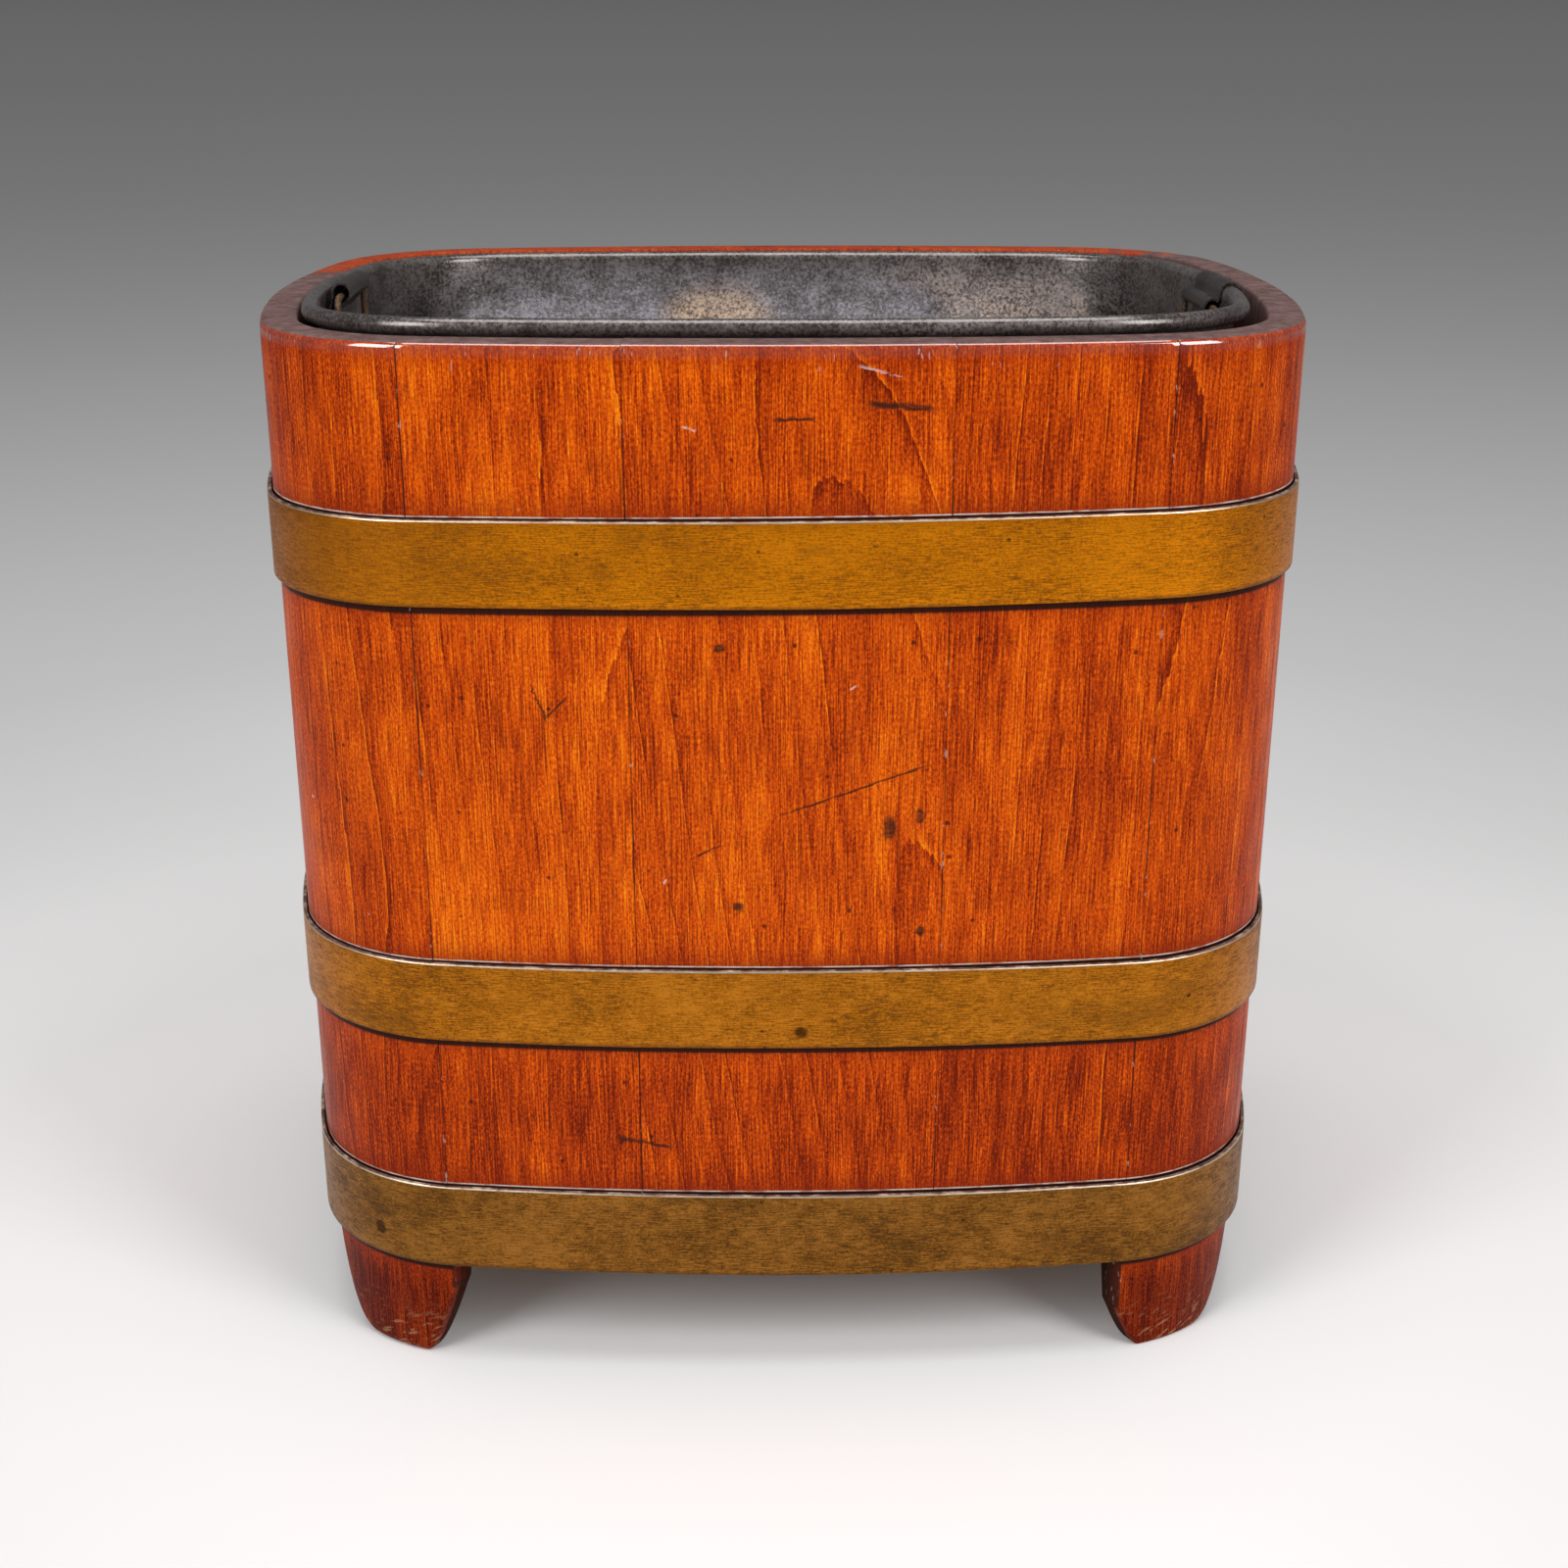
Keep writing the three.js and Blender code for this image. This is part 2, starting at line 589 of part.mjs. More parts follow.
// The strap, its two rivets and the wire handle of one end. `middle` is the station of the end's middle.
function handleParts(side, middle, strap) {
  const stations = linerPlan.between(middle - strapLength / 2, middle + strapLength / 2);
  const outline = bentSheet(strap.path, strapSheet);
  const rows = stations.map((s) => outline.map(({ x, y }) => linerPoint(s, -linerSheet - x, y)));
  const places = [-1, 1].map((end) => {
    const station = middle + (end * strapRivetSpacing) / 2;
    const foot = linerPoint(station, 0, strap.rivetHeight);
    const direction = linerPoint(station, -strapLength, strap.rivetHeight).sub(foot).normalize();
    return { foot, direction };
  });
  const holes = places.map(({ foot, direction }) =>
    standOn(bore(strapRivetShank + rivetClearance, -cutOverrun, strap.grip + cutOverrun), foot, direction),
  );
  const tail = [
    new THREE.Vector2(0, -seatGap - strapRivetTail),
    new THREE.Vector2(strapRivetTailRadius, -seatGap - strapRivetTail),
    new THREE.Vector2(strapRivetTailRadius, -seatGap),
    new THREE.Vector2(strapRivetShank, -seatGap),
  ];
  const rivets = places.map(({ foot, direction }) => {
    const rivet = rivetGeometry(tail, strap.grip + seatGap, strapRivetShank, strapRivetHead, strapRivetDome);
    return standOn(rivet, foot, direction);
  });
  // The end is bowed and the wire is straight, so the wire sits half the bow in from the strap's middle.
  const bow = strapLength ** 2 / (8 * linerEndRadius);
  const pivot = linerPoint(middle, -linerSheet - strap.pivot.x - bow / 2, strap.pivot.y);
  // A handle hangs plumb unless the wall, which bows and slopes in under it, holds its grip off.
  const wallSlope = (linerWidth - linerBaseWidth) / 2 / linerHeight;
  const wallAtGrip = handleGripWidth ** 2 / (8 * linerEndRadius) + handleDrop * wallSlope;
  const heldOff = wallAtGrip + handleWireRadius + 2 * seatGap - strap.pivot.x - bow / 2;
  const hang = Math.asin(Math.max(heldOff, 0) / handleDrop) * Math.sign(pivot.x);
  const lean = Math.atan((linerRimSlope * strap.pivot.y) / linerHeight);
  return { side, holes, strap: cutFrom(loft(rows), holes), rivets, pivot, hang, lean };
}

function addLiner(group) {
  const quarter = linerPlan.length / 4;
  const ends = [handleParts("left", 3 * quarter, leftStrap()), handleParts("right", quarter, rightStrap())];
  // The wall's sheet curls outwards round the rim wire, almost back to the wall.
  const curlCentre = new THREE.Vector2(rimCurlRadius - linerSheet, linerHeight);
  const curlEnd = Math.PI - radians(rimCurlTurn);
  const wallPath = [
    new THREE.Vector2(-linerSheet / 2, 0),
    ...arcPoints(curlCentre, rimCurlRadius - linerSheet / 2, Math.PI, curlEnd, facets.bead),
  ];
  const outline = bentSheet(wallPath, linerSheet);
  const shell = loft(linerPlan.grid.map((s) => outline.map(({ x, y }) => linerPoint(s, x, y))), true);
  addPiece(group, "liner_shell", cutFrom(shell, ends.flatMap((end) => end.holes)), linerIron);

  const wireRadius = rimCurlRadius - linerSheet - seatGap;
  const wireRows = linerPlan.grid.map((s) =>
    arcPoints(curlCentre, wireRadius, 0, 2 * Math.PI, facets.core)
      .slice(1)
      .map(({ x, y }) => linerPoint(s, x, y)),
  );
  addPiece(group, "liner_rim_wire", loft(wireRows, true), handleIron);

  // The base is a shallow pan set in upside down, its flange inside the foot of the wall.
  const flange = -linerSheet - linerBaseGap;
  const rings = [
    [flange - linerSheet, linerBaseRaise - linerSheet],
    [flange - linerSheet, linerBaseGap],
    [flange, linerBaseGap],
    [flange, linerBaseRaise],
  ].map(([offset, z]) => linerPlan.grid.map((s) => linerPoint(s, offset, z)));
  addPiece(group, "liner_base", loft(rings), linerIron);

  for (const end of ends) {
    addPiece(group, `${end.side}_handle_strap`, end.strap, linerIron);
    end.rivets.forEach((rivet, i) => {
      addPiece(group, `${end.side}_strap_rivet_${i + 1}`, rivet, linerIron);
    });
    const handle = addPiece(group, `${end.side}_handle`, handleGeometry(), handleIron);
    handle.position.copy(end.pivot);
    handle.rotation.set(-end.lean, end.hang, 0);
  }
}

const coalBin = new THREE.Group();
addStaves(coalBin);
addBaseBoards(coalBin);
addHoop(coalBin, "upper", upperHoopBottom, upperHoopWidth, upperHoopRise);
addHoop(coalBin, "middle", middleHoopBottom, middleHoopWidth, middleHoopRise);
addHoop(coalBin, "lower", lowerHoopBottom, lowerHoopWidth, lowerHoopRise);

// The liner stands on the base boards, a little to the left in the casing.
const liner = new THREE.Group();
liner.position.set(-linerShift, 0, linerFoot);
addLiner(liner);
coalBin.add(liner);

export default coalBin;
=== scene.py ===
import math

import bmesh
import bpy
import numpy as np
from mathutils import Euler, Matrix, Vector


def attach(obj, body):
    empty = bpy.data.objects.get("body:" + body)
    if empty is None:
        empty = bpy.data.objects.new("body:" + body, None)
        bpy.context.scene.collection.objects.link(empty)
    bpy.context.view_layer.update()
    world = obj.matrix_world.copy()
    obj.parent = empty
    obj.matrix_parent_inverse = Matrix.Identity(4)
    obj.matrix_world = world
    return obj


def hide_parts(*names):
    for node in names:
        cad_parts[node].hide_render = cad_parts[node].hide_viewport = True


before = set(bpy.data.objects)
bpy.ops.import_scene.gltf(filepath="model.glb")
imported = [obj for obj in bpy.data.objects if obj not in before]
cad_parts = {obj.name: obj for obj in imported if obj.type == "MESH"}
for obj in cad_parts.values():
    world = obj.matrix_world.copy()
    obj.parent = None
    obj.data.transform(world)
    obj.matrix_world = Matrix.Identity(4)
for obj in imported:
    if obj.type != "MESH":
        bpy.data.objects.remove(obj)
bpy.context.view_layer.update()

MM = 0.001

# Casing
CASING_WIDTH = 380 * MM
CASING_DEPTH = 289 * MM
CASING_HEIGHT = 382 * MM
CASING_FLOOR_WIDTH = 370 * MM
CASING_FRONT_RADIUS = 983 * MM
CASING_END_RADIUS = 427 * MM
CASING_CORNER_RADIUS = 66 * MM

# Staves
STAVE_WALL = 13.5 * MM
MIDDLE_STAVE_WIDTH = 0.2868 * CASING_WIDTH
SIDE_STAVE_WIDTH = 0.1947 * CASING_WIDTH
END_STAVE_WIDTH = 0.2353 * CASING_DEPTH
PLAIN_STAVE_BOTTOM = 42 * MM
STAVE_JOINT_GAP = 0.07 * MM
STAVE_ARRIS = 0.12 * MM
CORNER_JOINT_SKEW = 5 * MM
RIM_OUTER_ROUND = 2.4 * MM
RIM_INNER_ROUND = 1 * MM
FOOT_TOE_THICKNESS = 8 * MM
FOOT_SHOULDER_HEIGHT = 44 * MM
SOLE_ROUND = 1.1 * MM
WORN_SOLE_ROUND = 2.6 * MM

# Feet: width, height and power of the curve of the wide sweep at the end side and of each heel
FOOT_SWEEP = (26 * MM, 36 * MM, 2.5)
LEFT_HEEL = (13 * MM, 29 * MM, 1.5)
RIGHT_HEEL = (9.5 * MM, 17 * MM, 1.5)

# Base
BASE_BOTTOM = 49 * MM
BASE_THICKNESS = 11 * MM
GROOVE_DEPTH = 4.5 * MM
SEAT_GAP = 0.3 * MM
BOARD_EASE = 0.6 * MM

# Small unevenness, and how closely the pieces are meshed
STAVE_STEP = 0.16 * MM
STAVE_RIPPLE = 0.1 * MM
HOOP_SWAY = 0.12 * MM
LINER_DENT = 0.45 * MM
BASE_BUCKLE = 0.35 * MM
STATION_SPACING = 2.6 * MM
HOOP_STEPS = 340
LINER_STEPS = 260
LINER_BASE_STEPS = 200
WIRE_SIDES = 12

# Hoops: bottom edge, width and rise from left to right
HOOP_THICKNESS = 1.6 * MM
HOOP_EDGE = 0.3 * MM
HOOP_TOP_ROUND = 0.8 * MM
HOOPS = {
    "upper": (294 * MM, 30 * MM, 2.6 * MM),
    "middle": (0.3455 * CASING_HEIGHT, 30 * MM, -1.8 * MM),
    "lower": (39.5 * MM, 33 * MM, -1.8 * MM),
}
HOOP_LAP = 38 * MM
HOOP_LAP_RAMP = 8 * MM
HOOP_RIVET_SHANK = 1.8 * MM
HOOP_RIVET_HEAD = 3.6 * MM
HOOP_RIVET_DOME = 1.5 * MM
HOOP_RIVET_SINK = 1.1 * MM
RIVET_TIP = 0.05 * MM

# Liner
LINER_FLOOR = BASE_BOTTOM + BASE_THICKNESS + SEAT_GAP
LINER_WIDTH = CASING_WIDTH - 2 * (STAVE_WALL + 9 * MM)
LINER_DEPTH = CASING_DEPTH - 2 * (STAVE_WALL + 8 * MM)
LINER_BASE_WIDTH = CASING_FLOOR_WIDTH - 2 * (STAVE_WALL + 10.5 * MM)
LINER_HEIGHT = CASING_HEIGHT - LINER_FLOOR - 0.7 * MM
LINER_FRONT_RADIUS = CASING_FRONT_RADIUS - 23 * MM
LINER_END_RADIUS = CASING_END_RADIUS - 22 * MM
LINER_CORNER_RADIUS = CASING_CORNER_RADIUS - 8 * MM
LINER_SHEET = 0.8 * MM
LINER_SHIFT = 2.4 * MM
LINER_PROUD = 5.8 * MM
RIM_CURL_RADIUS = 3.1 * MM
RIM_CURL_TURN = math.radians(302)
LINER_BASE_RAISE = 9 * MM
LINER_BASE_GAP = 0.3 * MM

# Straps and handles
STRAP_SHEET = 0.8 * MM
STRAP_LENGTH = 48 * MM
STRAP_TAIL = 17 * MM
STRAP_SLOPE = 7 * MM
LEFT_LOOP_RADIUS = 3.65 * MM
LEFT_LOOP_STANDOFF = 2.3 * MM
LEFT_LOOP_CROWN = 5 * MM
LEFT_LOOP_SIDE = 1.5 * MM
RIGHT_LOOP_RADIUS = 3 * MM
RIGHT_LOOP_CROWN = -1.6 * MM
RIGHT_HOOK_TURN = math.radians(162)
RIGHT_SADDLE_TURN = math.radians(270)
STRAP_RIVET_SPACING = 26 * MM
STRAP_RIVET_SHANK = 1.5 * MM
STRAP_RIVET_HEAD = 2.9 * MM
STRAP_RIVET_DOME = 1.3 * MM
STRAP_RIVET_TAIL = 0.9 * MM
STRAP_RIVET_TAIL_RADIUS = 2.3 * MM
WIRE_RADIUS = 1.25 * MM
HANDLE_TOP_WIDTH = 63 * MM
HANDLE_GRIP_WIDTH = 74 * MM
HANDLE_DROP = 52 * MM
HANDLE_TOP_BEND = 6 * MM
HANDLE_GRIP_BEND = 11 * MM

# Camera, at the photograph's place
CAMERA_PLACE = Vector((-17.7, -913.7, 496.75)) * MM
CAMERA_LOOK = Vector((0.01973, 0.9454, -0.3253))
CAMERA_LENS = 54.52


# Plan and sections

def mix(a, b, share):
    return a + (b - a) * share


def columns(*values):
    """Numbers or arrays as the columns of one array, each spread to the shape of the largest."""
    return np.stack(np.broadcast_arrays(*values), -1)


class Plan:
    """Wide front, back and end arcs that meet corner arcs at a tangent. A station is a distance round it,
    counter-clockwise from the middle of the front."""

    def __init__(self, width, depth, front_radius, end_radius, corner_radius):
        back = np.array([0, depth / 2 - front_radius])
        end = np.array([width / 2 - end_radius, 0])
        from_back = front_radius - corner_radius
        from_end = end_radius - corner_radius
        reach = end - back
        span = np.linalg.norm(reach)
        unit = reach / span
        along = (span ** 2 + from_back ** 2 - from_end ** 2) / (2 * span)
        aside = math.sqrt(from_back ** 2 - along ** 2)
        corner = back + unit * along + np.array([unit[1], -unit[0]]) * aside
        back_angle = math.atan2(corner[1] - back[1], corner[0] - back[0])
        end_angle = math.atan2(corner[1] - end[1], corner[0] - end[0])
        turn = math.pi
        self.arcs = np.array([
            (0, -back[1], front_radius, -turn / 2, -back_angle),
            (corner[0], -corner[1], corner_radius, -back_angle, -end_angle),
            (end[0], 0, end_radius, -end_angle, end_angle),
            (corner[0], corner[1], corner_radius, end_angle, back_angle),
            (0, back[1], front_radius, back_angle, turn - back_angle),
            (-corner[0], corner[1], corner_radius, turn - back_angle, turn - end_angle),
            (-end[0], 0, end_radius, turn - end_angle, turn + end_angle),
            (-corner[0], -corner[1], corner_radius, turn + end_angle, turn + back_angle),
            (0, -back[1], front_radius, turn + back_angle, turn + turn / 2),
        ])
        lengths = self.arcs[:, 2] * (self.arcs[:, 4] - self.arcs[:, 3])
        self.starts = np.concatenate([[0], np.cumsum(lengths)[:-1]])
        self.length = float(lengths.sum())

    def place(self, station, offset):
        station = np.mod(station, self.length)
        k = np.clip(np.searchsorted(self.starts, station, side="right") - 1, 0, len(self.arcs) - 1)
        x, y, radius, start = (self.arcs[k, column] for column in range(4))
        angle = start + (station - self.starts[k]) / radius
        return x + (radius + offset) * np.cos(angle), y + (radius + offset) * np.sin(angle)


casing_plan = Plan(CASING_WIDTH, CASING_DEPTH, CASING_FRONT_RADIUS, CASING_END_RADIUS, CASING_CORNER_RADIUS)
liner_plan = Plan(LINER_WIDTH, LINER_DEPTH, LINER_FRONT_RADIUS, LINER_END_RADIUS, LINER_CORNER_RADIUS)
LINER_RIM_SLOPE = LINER_PROUD / LINER_DEPTH


def casing_point(station, offset, z):
    taper = mix(CASING_FLOOR_WIDTH / CASING_WIDTH, 1, z / CASING_HEIGHT)
    x, y = casing_plan.place(station, offset)
    return columns(x * taper, y * taper, z)


def liner_point(station, offset, z):
    """A point of the liner, z up from its foot. Its rim climbs towards the front."""
    taper = mix(LINER_BASE_WIDTH / LINER_WIDTH, 1, z / LINER_HEIGHT)
    x, y = liner_plan.place(station, offset)
    rise = -y * taper * LINER_RIM_SLOPE * z / LINER_HEIGHT
    return columns(x * taper - LINER_SHIFT, y * taper, LINER_FLOOR + z + rise)


def arc(centre, radius, start, stop, steps):
    angles = np.linspace(start, stop, steps + 1)
    return columns(centre[0] + radius * np.cos(angles), centre[1] + radius * np.sin(angles))


def units(rows):
    """Each row of numbers as a direction of length 1."""
    return rows / np.maximum(np.linalg.norm(rows, axis=-1), 1e-9)[..., None]


def line(start, stop, steps):
    """Points from start to stop, with both left out."""
    shares = np.arange(1, steps)[:, None] / steps
    return np.array(start) + (np.array(stop) - np.array(start)) * shares


def bent_sheet(path, thickness):
    """The outline of a sheet of even thickness bent along a path."""
    before = np.diff(path, axis=0, prepend=path[:1] - (path[1:2] - path[:1]))
    after = np.diff(path, axis=0, append=path[-1:] + (path[-1:] - path[-2:-1]))
    before, after = units(before), units(after)
    mitre = units(before + after)
    lean = np.maximum((mitre * before).sum(1), 0.5)[:, None]
    normal = columns(-mitre[:, 1], mitre[:, 0]) * thickness / 2 / lean
    return np.concatenate([path + normal, (path - normal)[::-1]])


def inset(outline, amount):
    """A closed outline moved inwards all round."""
    edges = units(np.roll(outline, -1, axis=0) - outline)
    normals = columns(-edges[:, 1], edges[:, 0])
    normals = units(normals + np.roll(normals, 1, axis=0))
    x, y = outline.T
    area = (x * np.roll(y, -1) - np.roll(x, -1) * y).sum()
    return outline + normals * amount * np.sign(area)


# Meshes

def add_object(name, data):
    made = bpy.data.objects.new(name, data)
    bpy.context.scene.collection.objects.link(made)
    return made


def loft_faces(rows, count, ring):
    i, j = np.meshgrid(np.arange(rows if ring else rows - 1), np.arange(count), indexing="ij")
    following, k = (i + 1) % rows, (j + 1) % count
    faces = columns(i * count + j, following * count + j, following * count + k, i * count + k)
    faces = faces.reshape(-1, 4).tolist()
    if not ring:
        faces += [list(range(count)), list(range((rows - 1) * count, rows * count))]
    return faces


def add_piece(name, body, slot, material, rows, ring=False, sharp=40, **attributes):
    """A closed solid skinned over rows of points, standing for the node of the same name."""
    rows = np.asarray(rows, float)
    mesh = bpy.data.meshes.new(name)
    mesh.from_pydata(rows.reshape(-1, 3).tolist(), [], loft_faces(*rows.shape[:2], ring))
    shell = bmesh.new()
    shell.from_mesh(mesh)
    bmesh.ops.recalc_face_normals(shell, faces=shell.faces)
    shell.to_mesh(mesh)
    shell.free()
    for key, values in attributes.items():
        layer = mesh.attributes.new(key, "FLOAT_VECTOR", "POINT")
        layer.data.foreach_set("vector", np.asarray(values, np.float32).ravel())
    mesh.shade_smooth()
    mesh.set_sharp_from_angle(angle=math.radians(sharp))
    mesh.materials.append(material)
    piece = add_object(f"{name}_finish", mesh)
    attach(piece, body)
    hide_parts(name)
    return piece


# Materials, with every size in metres

class Value:
    """A number, place or colour that a material works out. Sums and products of them are written as such."""

    def __init__(self, paint, socket):
        self.paint = paint
        self.socket = socket

    def math(self, operation, *others):
        return self.paint.value("ShaderNodeMath", (self, *others), operation=operation)

    def __add__(self, other):
        return self.math("ADD", other)

    def __sub__(self, other):
        return self.math("SUBTRACT", other)

    def __rsub__(self, other):
        return self * -1 + other

    def __mul__(self, other):
        return self.math("MULTIPLY", other)

    def __abs__(self):
        return self.math("ABSOLUTE")

    def vector(self, operation, other=(0, 0, 0), output="Vector"):
        return self.paint.value("ShaderNodeVectorMath", (self, other), output, operation=operation)

    def length(self):
        return self.vector("LENGTH", output="Value")

    def parts(self):
        made = self.paint.node("ShaderNodeSeparateXYZ", (self,))
        return [Value(self.paint, socket) for socket in made.outputs]

    def sized(self, size):
        """This place, for a texture whose features have one size, or a size each along x, y and z."""
        sizes = size if isinstance(size, tuple) else (size,) * 3
        return self.vector("MULTIPLY", tuple(1 / each for each in sizes))

    def noise(self, size, detail=2.0, roughness=0.5):
        inputs = {"Vector": self.sized(size), "Scale": 1.0, "Detail": detail, "Roughness": roughness}
        return self.paint.value("ShaderNodeTexNoise", inputs, "Fac")

    def cells(self, size):
        """How far the nearest of scattered points is, as a share of size, and a random number for each."""
        made = self.paint.node("ShaderNodeTexVoronoi", {"Vector": self.sized(size), "Scale": 1.0})
        distance, chance = (Value(self.paint, made.outputs[name]) for name in ("Distance", "Color"))
        return distance, chance.parts()[0]

    def step(self, low, high, to_low=0.0, to_high=1.0):
        """A smooth step from to_low to to_high while this goes from low to high."""
        inputs = (self, low, high, to_low, to_high)
        return self.paint.value("ShaderNodeMapRange", inputs, interpolation_type="SMOOTHSTEP")

    def ramp(self, *stops):
        """A colour read off stops of (number, colour)."""
        made = self.paint.node("ShaderNodeValToRGB", (self,))
        points = made.color_ramp.elements
        while len(points) < len(stops):
            points.new(0.5)
        for point, (place, colour) in zip(points, stops):
            point.position = place
            point.color = (*colour, 1)
        return Value(self.paint, made.outputs[0])

    def mix(self, under, over, how="MIX"):
        """The colour under with this share of the colour over."""
        inputs = {0: self, 6: under, 7: over}
        return self.paint.value("ShaderNodeMix", inputs, 2, data_type="RGBA", blend_type=how)


class Paint:
    """A node material."""

    def __init__(self, name):
        self.material = bpy.data.materials.new(name)
        self.material.use_nodes = True
        self.tree = self.material.node_tree
        self.tree.nodes.clear()
        self.shader = self.node("ShaderNodeBsdfPrincipled")
        output = self.node("ShaderNodeOutputMaterial")
        self.tree.links.new(self.shader.outputs[0], output.inputs["Surface"])

    def node(self, kind, inputs=(), **settings):
        """A new node. Its inputs are given in order, or under their names or numbers."""
        made = self.tree.nodes.new(kind)
        for key, value in settings.items():
            setattr(made, key, value)
        named = inputs if isinstance(inputs, dict) else dict(enumerate(inputs))
        for key, value in named.items():
            self.feed(made.inputs[key], value)
        return made

    def value(self, kind, inputs=(), output=0, **settings):
        return Value(self, self.node(kind, inputs, **settings).outputs[output])

    def feed(self, socket, value):
        if isinstance(value, Value):
            self.tree.links.new(value.socket, socket)
        else:
            socket.default_value = (*value, 1) if socket.type == "RGBA" else value

    def set(self, **values):
        """Feeds the shader's sockets: base_color becomes Base Color."""
        names = {"coat_ior": "Coat IOR", "specular": "Specular IOR Level"}
        for key, value in values.items():
            self.feed(self.shader.inputs[names.get(key, key.replace("_", " ").title())], value)

    def attribute(self, name):
        return self.value("ShaderNodeAttribute", output="Vector", attribute_name=name)

    def place(self):
        return self.value("ShaderNodeTexCoord", output="Object")

    def join(self, *parts):
        return self.value("ShaderNodeCombineXYZ", parts)

    def bump(self, *reliefs):
        """A normal bent by reliefs of (height, strength, distance)."""
        bent = {}
        for height, strength, distance in reliefs:
            inputs = {"Height": height, "Strength": strength, "Distance": distance}
            bent = {"Normal": self.value("ShaderNodeBump", inputs | bent)}
        return bent["Normal"]


def most(*values):
    """The greatest of several values."""
    top, *others = values
    for value in others:
        top = top.math("MAXIMUM", value)
    return top


def layered(colour, *layers):
    """A colour under layers of (share, colour)."""
    for share, over in layers:
        colour = share.mix(colour, over)
    return colour


def scratch(across, up, start, stop, width):
    """1 on a thin straight mark between two points of the front and 0 off it."""
    run = (stop[0] - start[0], stop[1] - start[1])
    length = math.hypot(*run)
    along = (run[0] / length, run[1] / length)
    dx = across - start[0]
    dz = up - start[1]
    forward = dx * along[0] + dz * along[1]
    aside = abs(dz * along[0] - dx * along[1])
    inside = forward.step(0.0, length / 6) * forward.step(length, length * 5 / 6)
    return inside * aside.step(width, width / 4)


def spot(across, up, middle, radius, stretch=1.0):
    """1 at a small round stain and 0 off it."""
    dx = across - middle[0]
    dz = (up - middle[1]) * (1 / stretch)
    return across.paint.join(dx, dz).length().step(radius, radius * 0.45)


def chosen_cells(place, size, radius, share):
    """1 on small dots of this radius, in a share of the cells of a grid of this size."""
    distance, chance = place.cells(size)
    return distance.step(radius / size, radius / size / 2) * chance.step(share + 0.02, share - 0.02)


RING_SPACING = 0.0098


def wood_tone(paint, lie, stave_tone, z):
    """How light the wood is, and its fibres, pores and streaks."""
    # Growth rings round the tree's heart: each darkens outwards, and the next starts at a pale line.
    grain = paint.attribute("grain")
    across, deep, _ = grain.parts()
    wander = grain.noise((0.06, 0.06, 0.25), 1.0)
    jag = grain.noise((0.0016, 0.0016, 0.02), 1.0, 0.6)
    radius = paint.join(across, deep).length() + wander * 0.026 + jag * 0.0012
    ring = (radius * (1 / RING_SPACING)).math("FRACT")
    late = ring.math("POWER", 3)
    drawn = grain.noise((0.016, 0.016, 0.09)).step(0.44, 0.58)
    pale_line = ring.step(0.07, 0.0) * drawn
    dark_line = ring.step(0.9, 0.99) * drawn

    # Fibres run up the stave, from single ones to broad bands. The stave's tone keeps the staves apart.
    sway = grain.noise((0.03, 0.03, 0.05), 1.0) * 0.002
    fibre = paint.join(lie[0] + stave_tone * 30 + sway, lie[2], z)
    grit = fibre.noise((0.0008, 0.0008, 0.0014), 2.0, 0.7)
    fine = fibre.noise((0.0005, 0.0005, 0.018), 1.0, 0.6)
    thread = fibre.noise((0.0011, 0.0011, 0.05), 2.0, 0.65)
    band = fibre.noise((0.007, 0.007, 0.16), 3.0, 0.6)
    cloud = fibre.noise((0.022, 0.022, 0.07), 3.0, 0.55)
    pores = fibre.noise((0.0004, 0.0004, 0.012), 0.0, 0.4).step(0.6, 0.72)
    streaks = fibre.noise((0.0012, 0.0012, 0.045), 1.0).step(0.6, 0.7) * cloud.step(0.6, 0.45)

    tone = pale_line * 0.22 - dark_line * 0.16 - late * 0.11 + 0.5
    for value, strength in (
        (grit, 1.15), (fine, 1.1), (thread, 0.3), (band, 0.4), (cloud, 0.6), (stave_tone, 0.6),
    ):
        tone = tone + (value - 0.5) * strength

    # The rim's end and the low end are darker.
    tone = tone + z.step(0.31, 0.35, 0.0, -0.05) + z.step(0.15, 0.11, 0.0, -0.16)
    return tone, fine, thread, pores, streaks


def hoop_edges(x, z):
    """Masks on the wood beside each hoop: reddened and grimed, the dark line at each edge, the pale crust.
    The dark line under a hoop is a painted shadow, and the one over it is dirt and painted shade in the gap.
    """
    level = x * (1 / CASING_WIDTH)
    near, dark, pale = [], [], []
    for bottom, width, rise in HOOPS.values():
        above = z - level * rise - (bottom + width)
        below = level * rise + bottom - z
        near += [above.step(0.011, 0.0) * above.step(-0.004, -0.001)]
        near += [below.step(0.008, 0.0) * below.step(-0.004, -0.001)]
        # Dark line over the hoop: dirt and painted shade in the gap; under the hoop: a painted shadow
        dark += [above.step(0.0008, 0.0005) * above.step(-0.004, -0.003)]
        dark += [below.step(0.0032, 0.0022) * below.step(-0.004, -0.003)]
        pale += [above.step(0.0013, 0.001) * above.step(0.0004, 0.0007)]
    return [most(*masks) for masks in (near, dark, pale)]


# Marks of the front as (across, up) in metres: two ends and a width, or a middle, a radius and a stretch
FRONT_SCRATCHES = [
    ((-0.0055, 0.219), (0.0525, 0.2392), 0.0006),
    ((-0.033, 0.2045), (-0.022, 0.2095), 0.0005),
    ((0.0239, 0.3628), (0.0495, 0.3603), 0.0016),
    ((-0.0064, 0.3575), (0.0095, 0.3574), 0.0008),
    ((-0.0638, 0.0955), (-0.0407, 0.0911), 0.0012),
    ((-0.0879, 0.2676), (-0.0818, 0.2522), 0.0006),
    ((-0.0748, 0.2629), (-0.083, 0.2545), 0.0006),
]
FRONT_STAINS = [
    ((-0.0234, 0.2799), 0.0026, 0.8),
    ((0.035, 0.2149), 0.0034, 1.7),
    ((0.0455, 0.219), 0.0022, 1.9),
    ((0.0464, 0.1759), 0.0022, 1.2),
    ((-0.0177, 0.1858), 0.0024, 1.2),
]
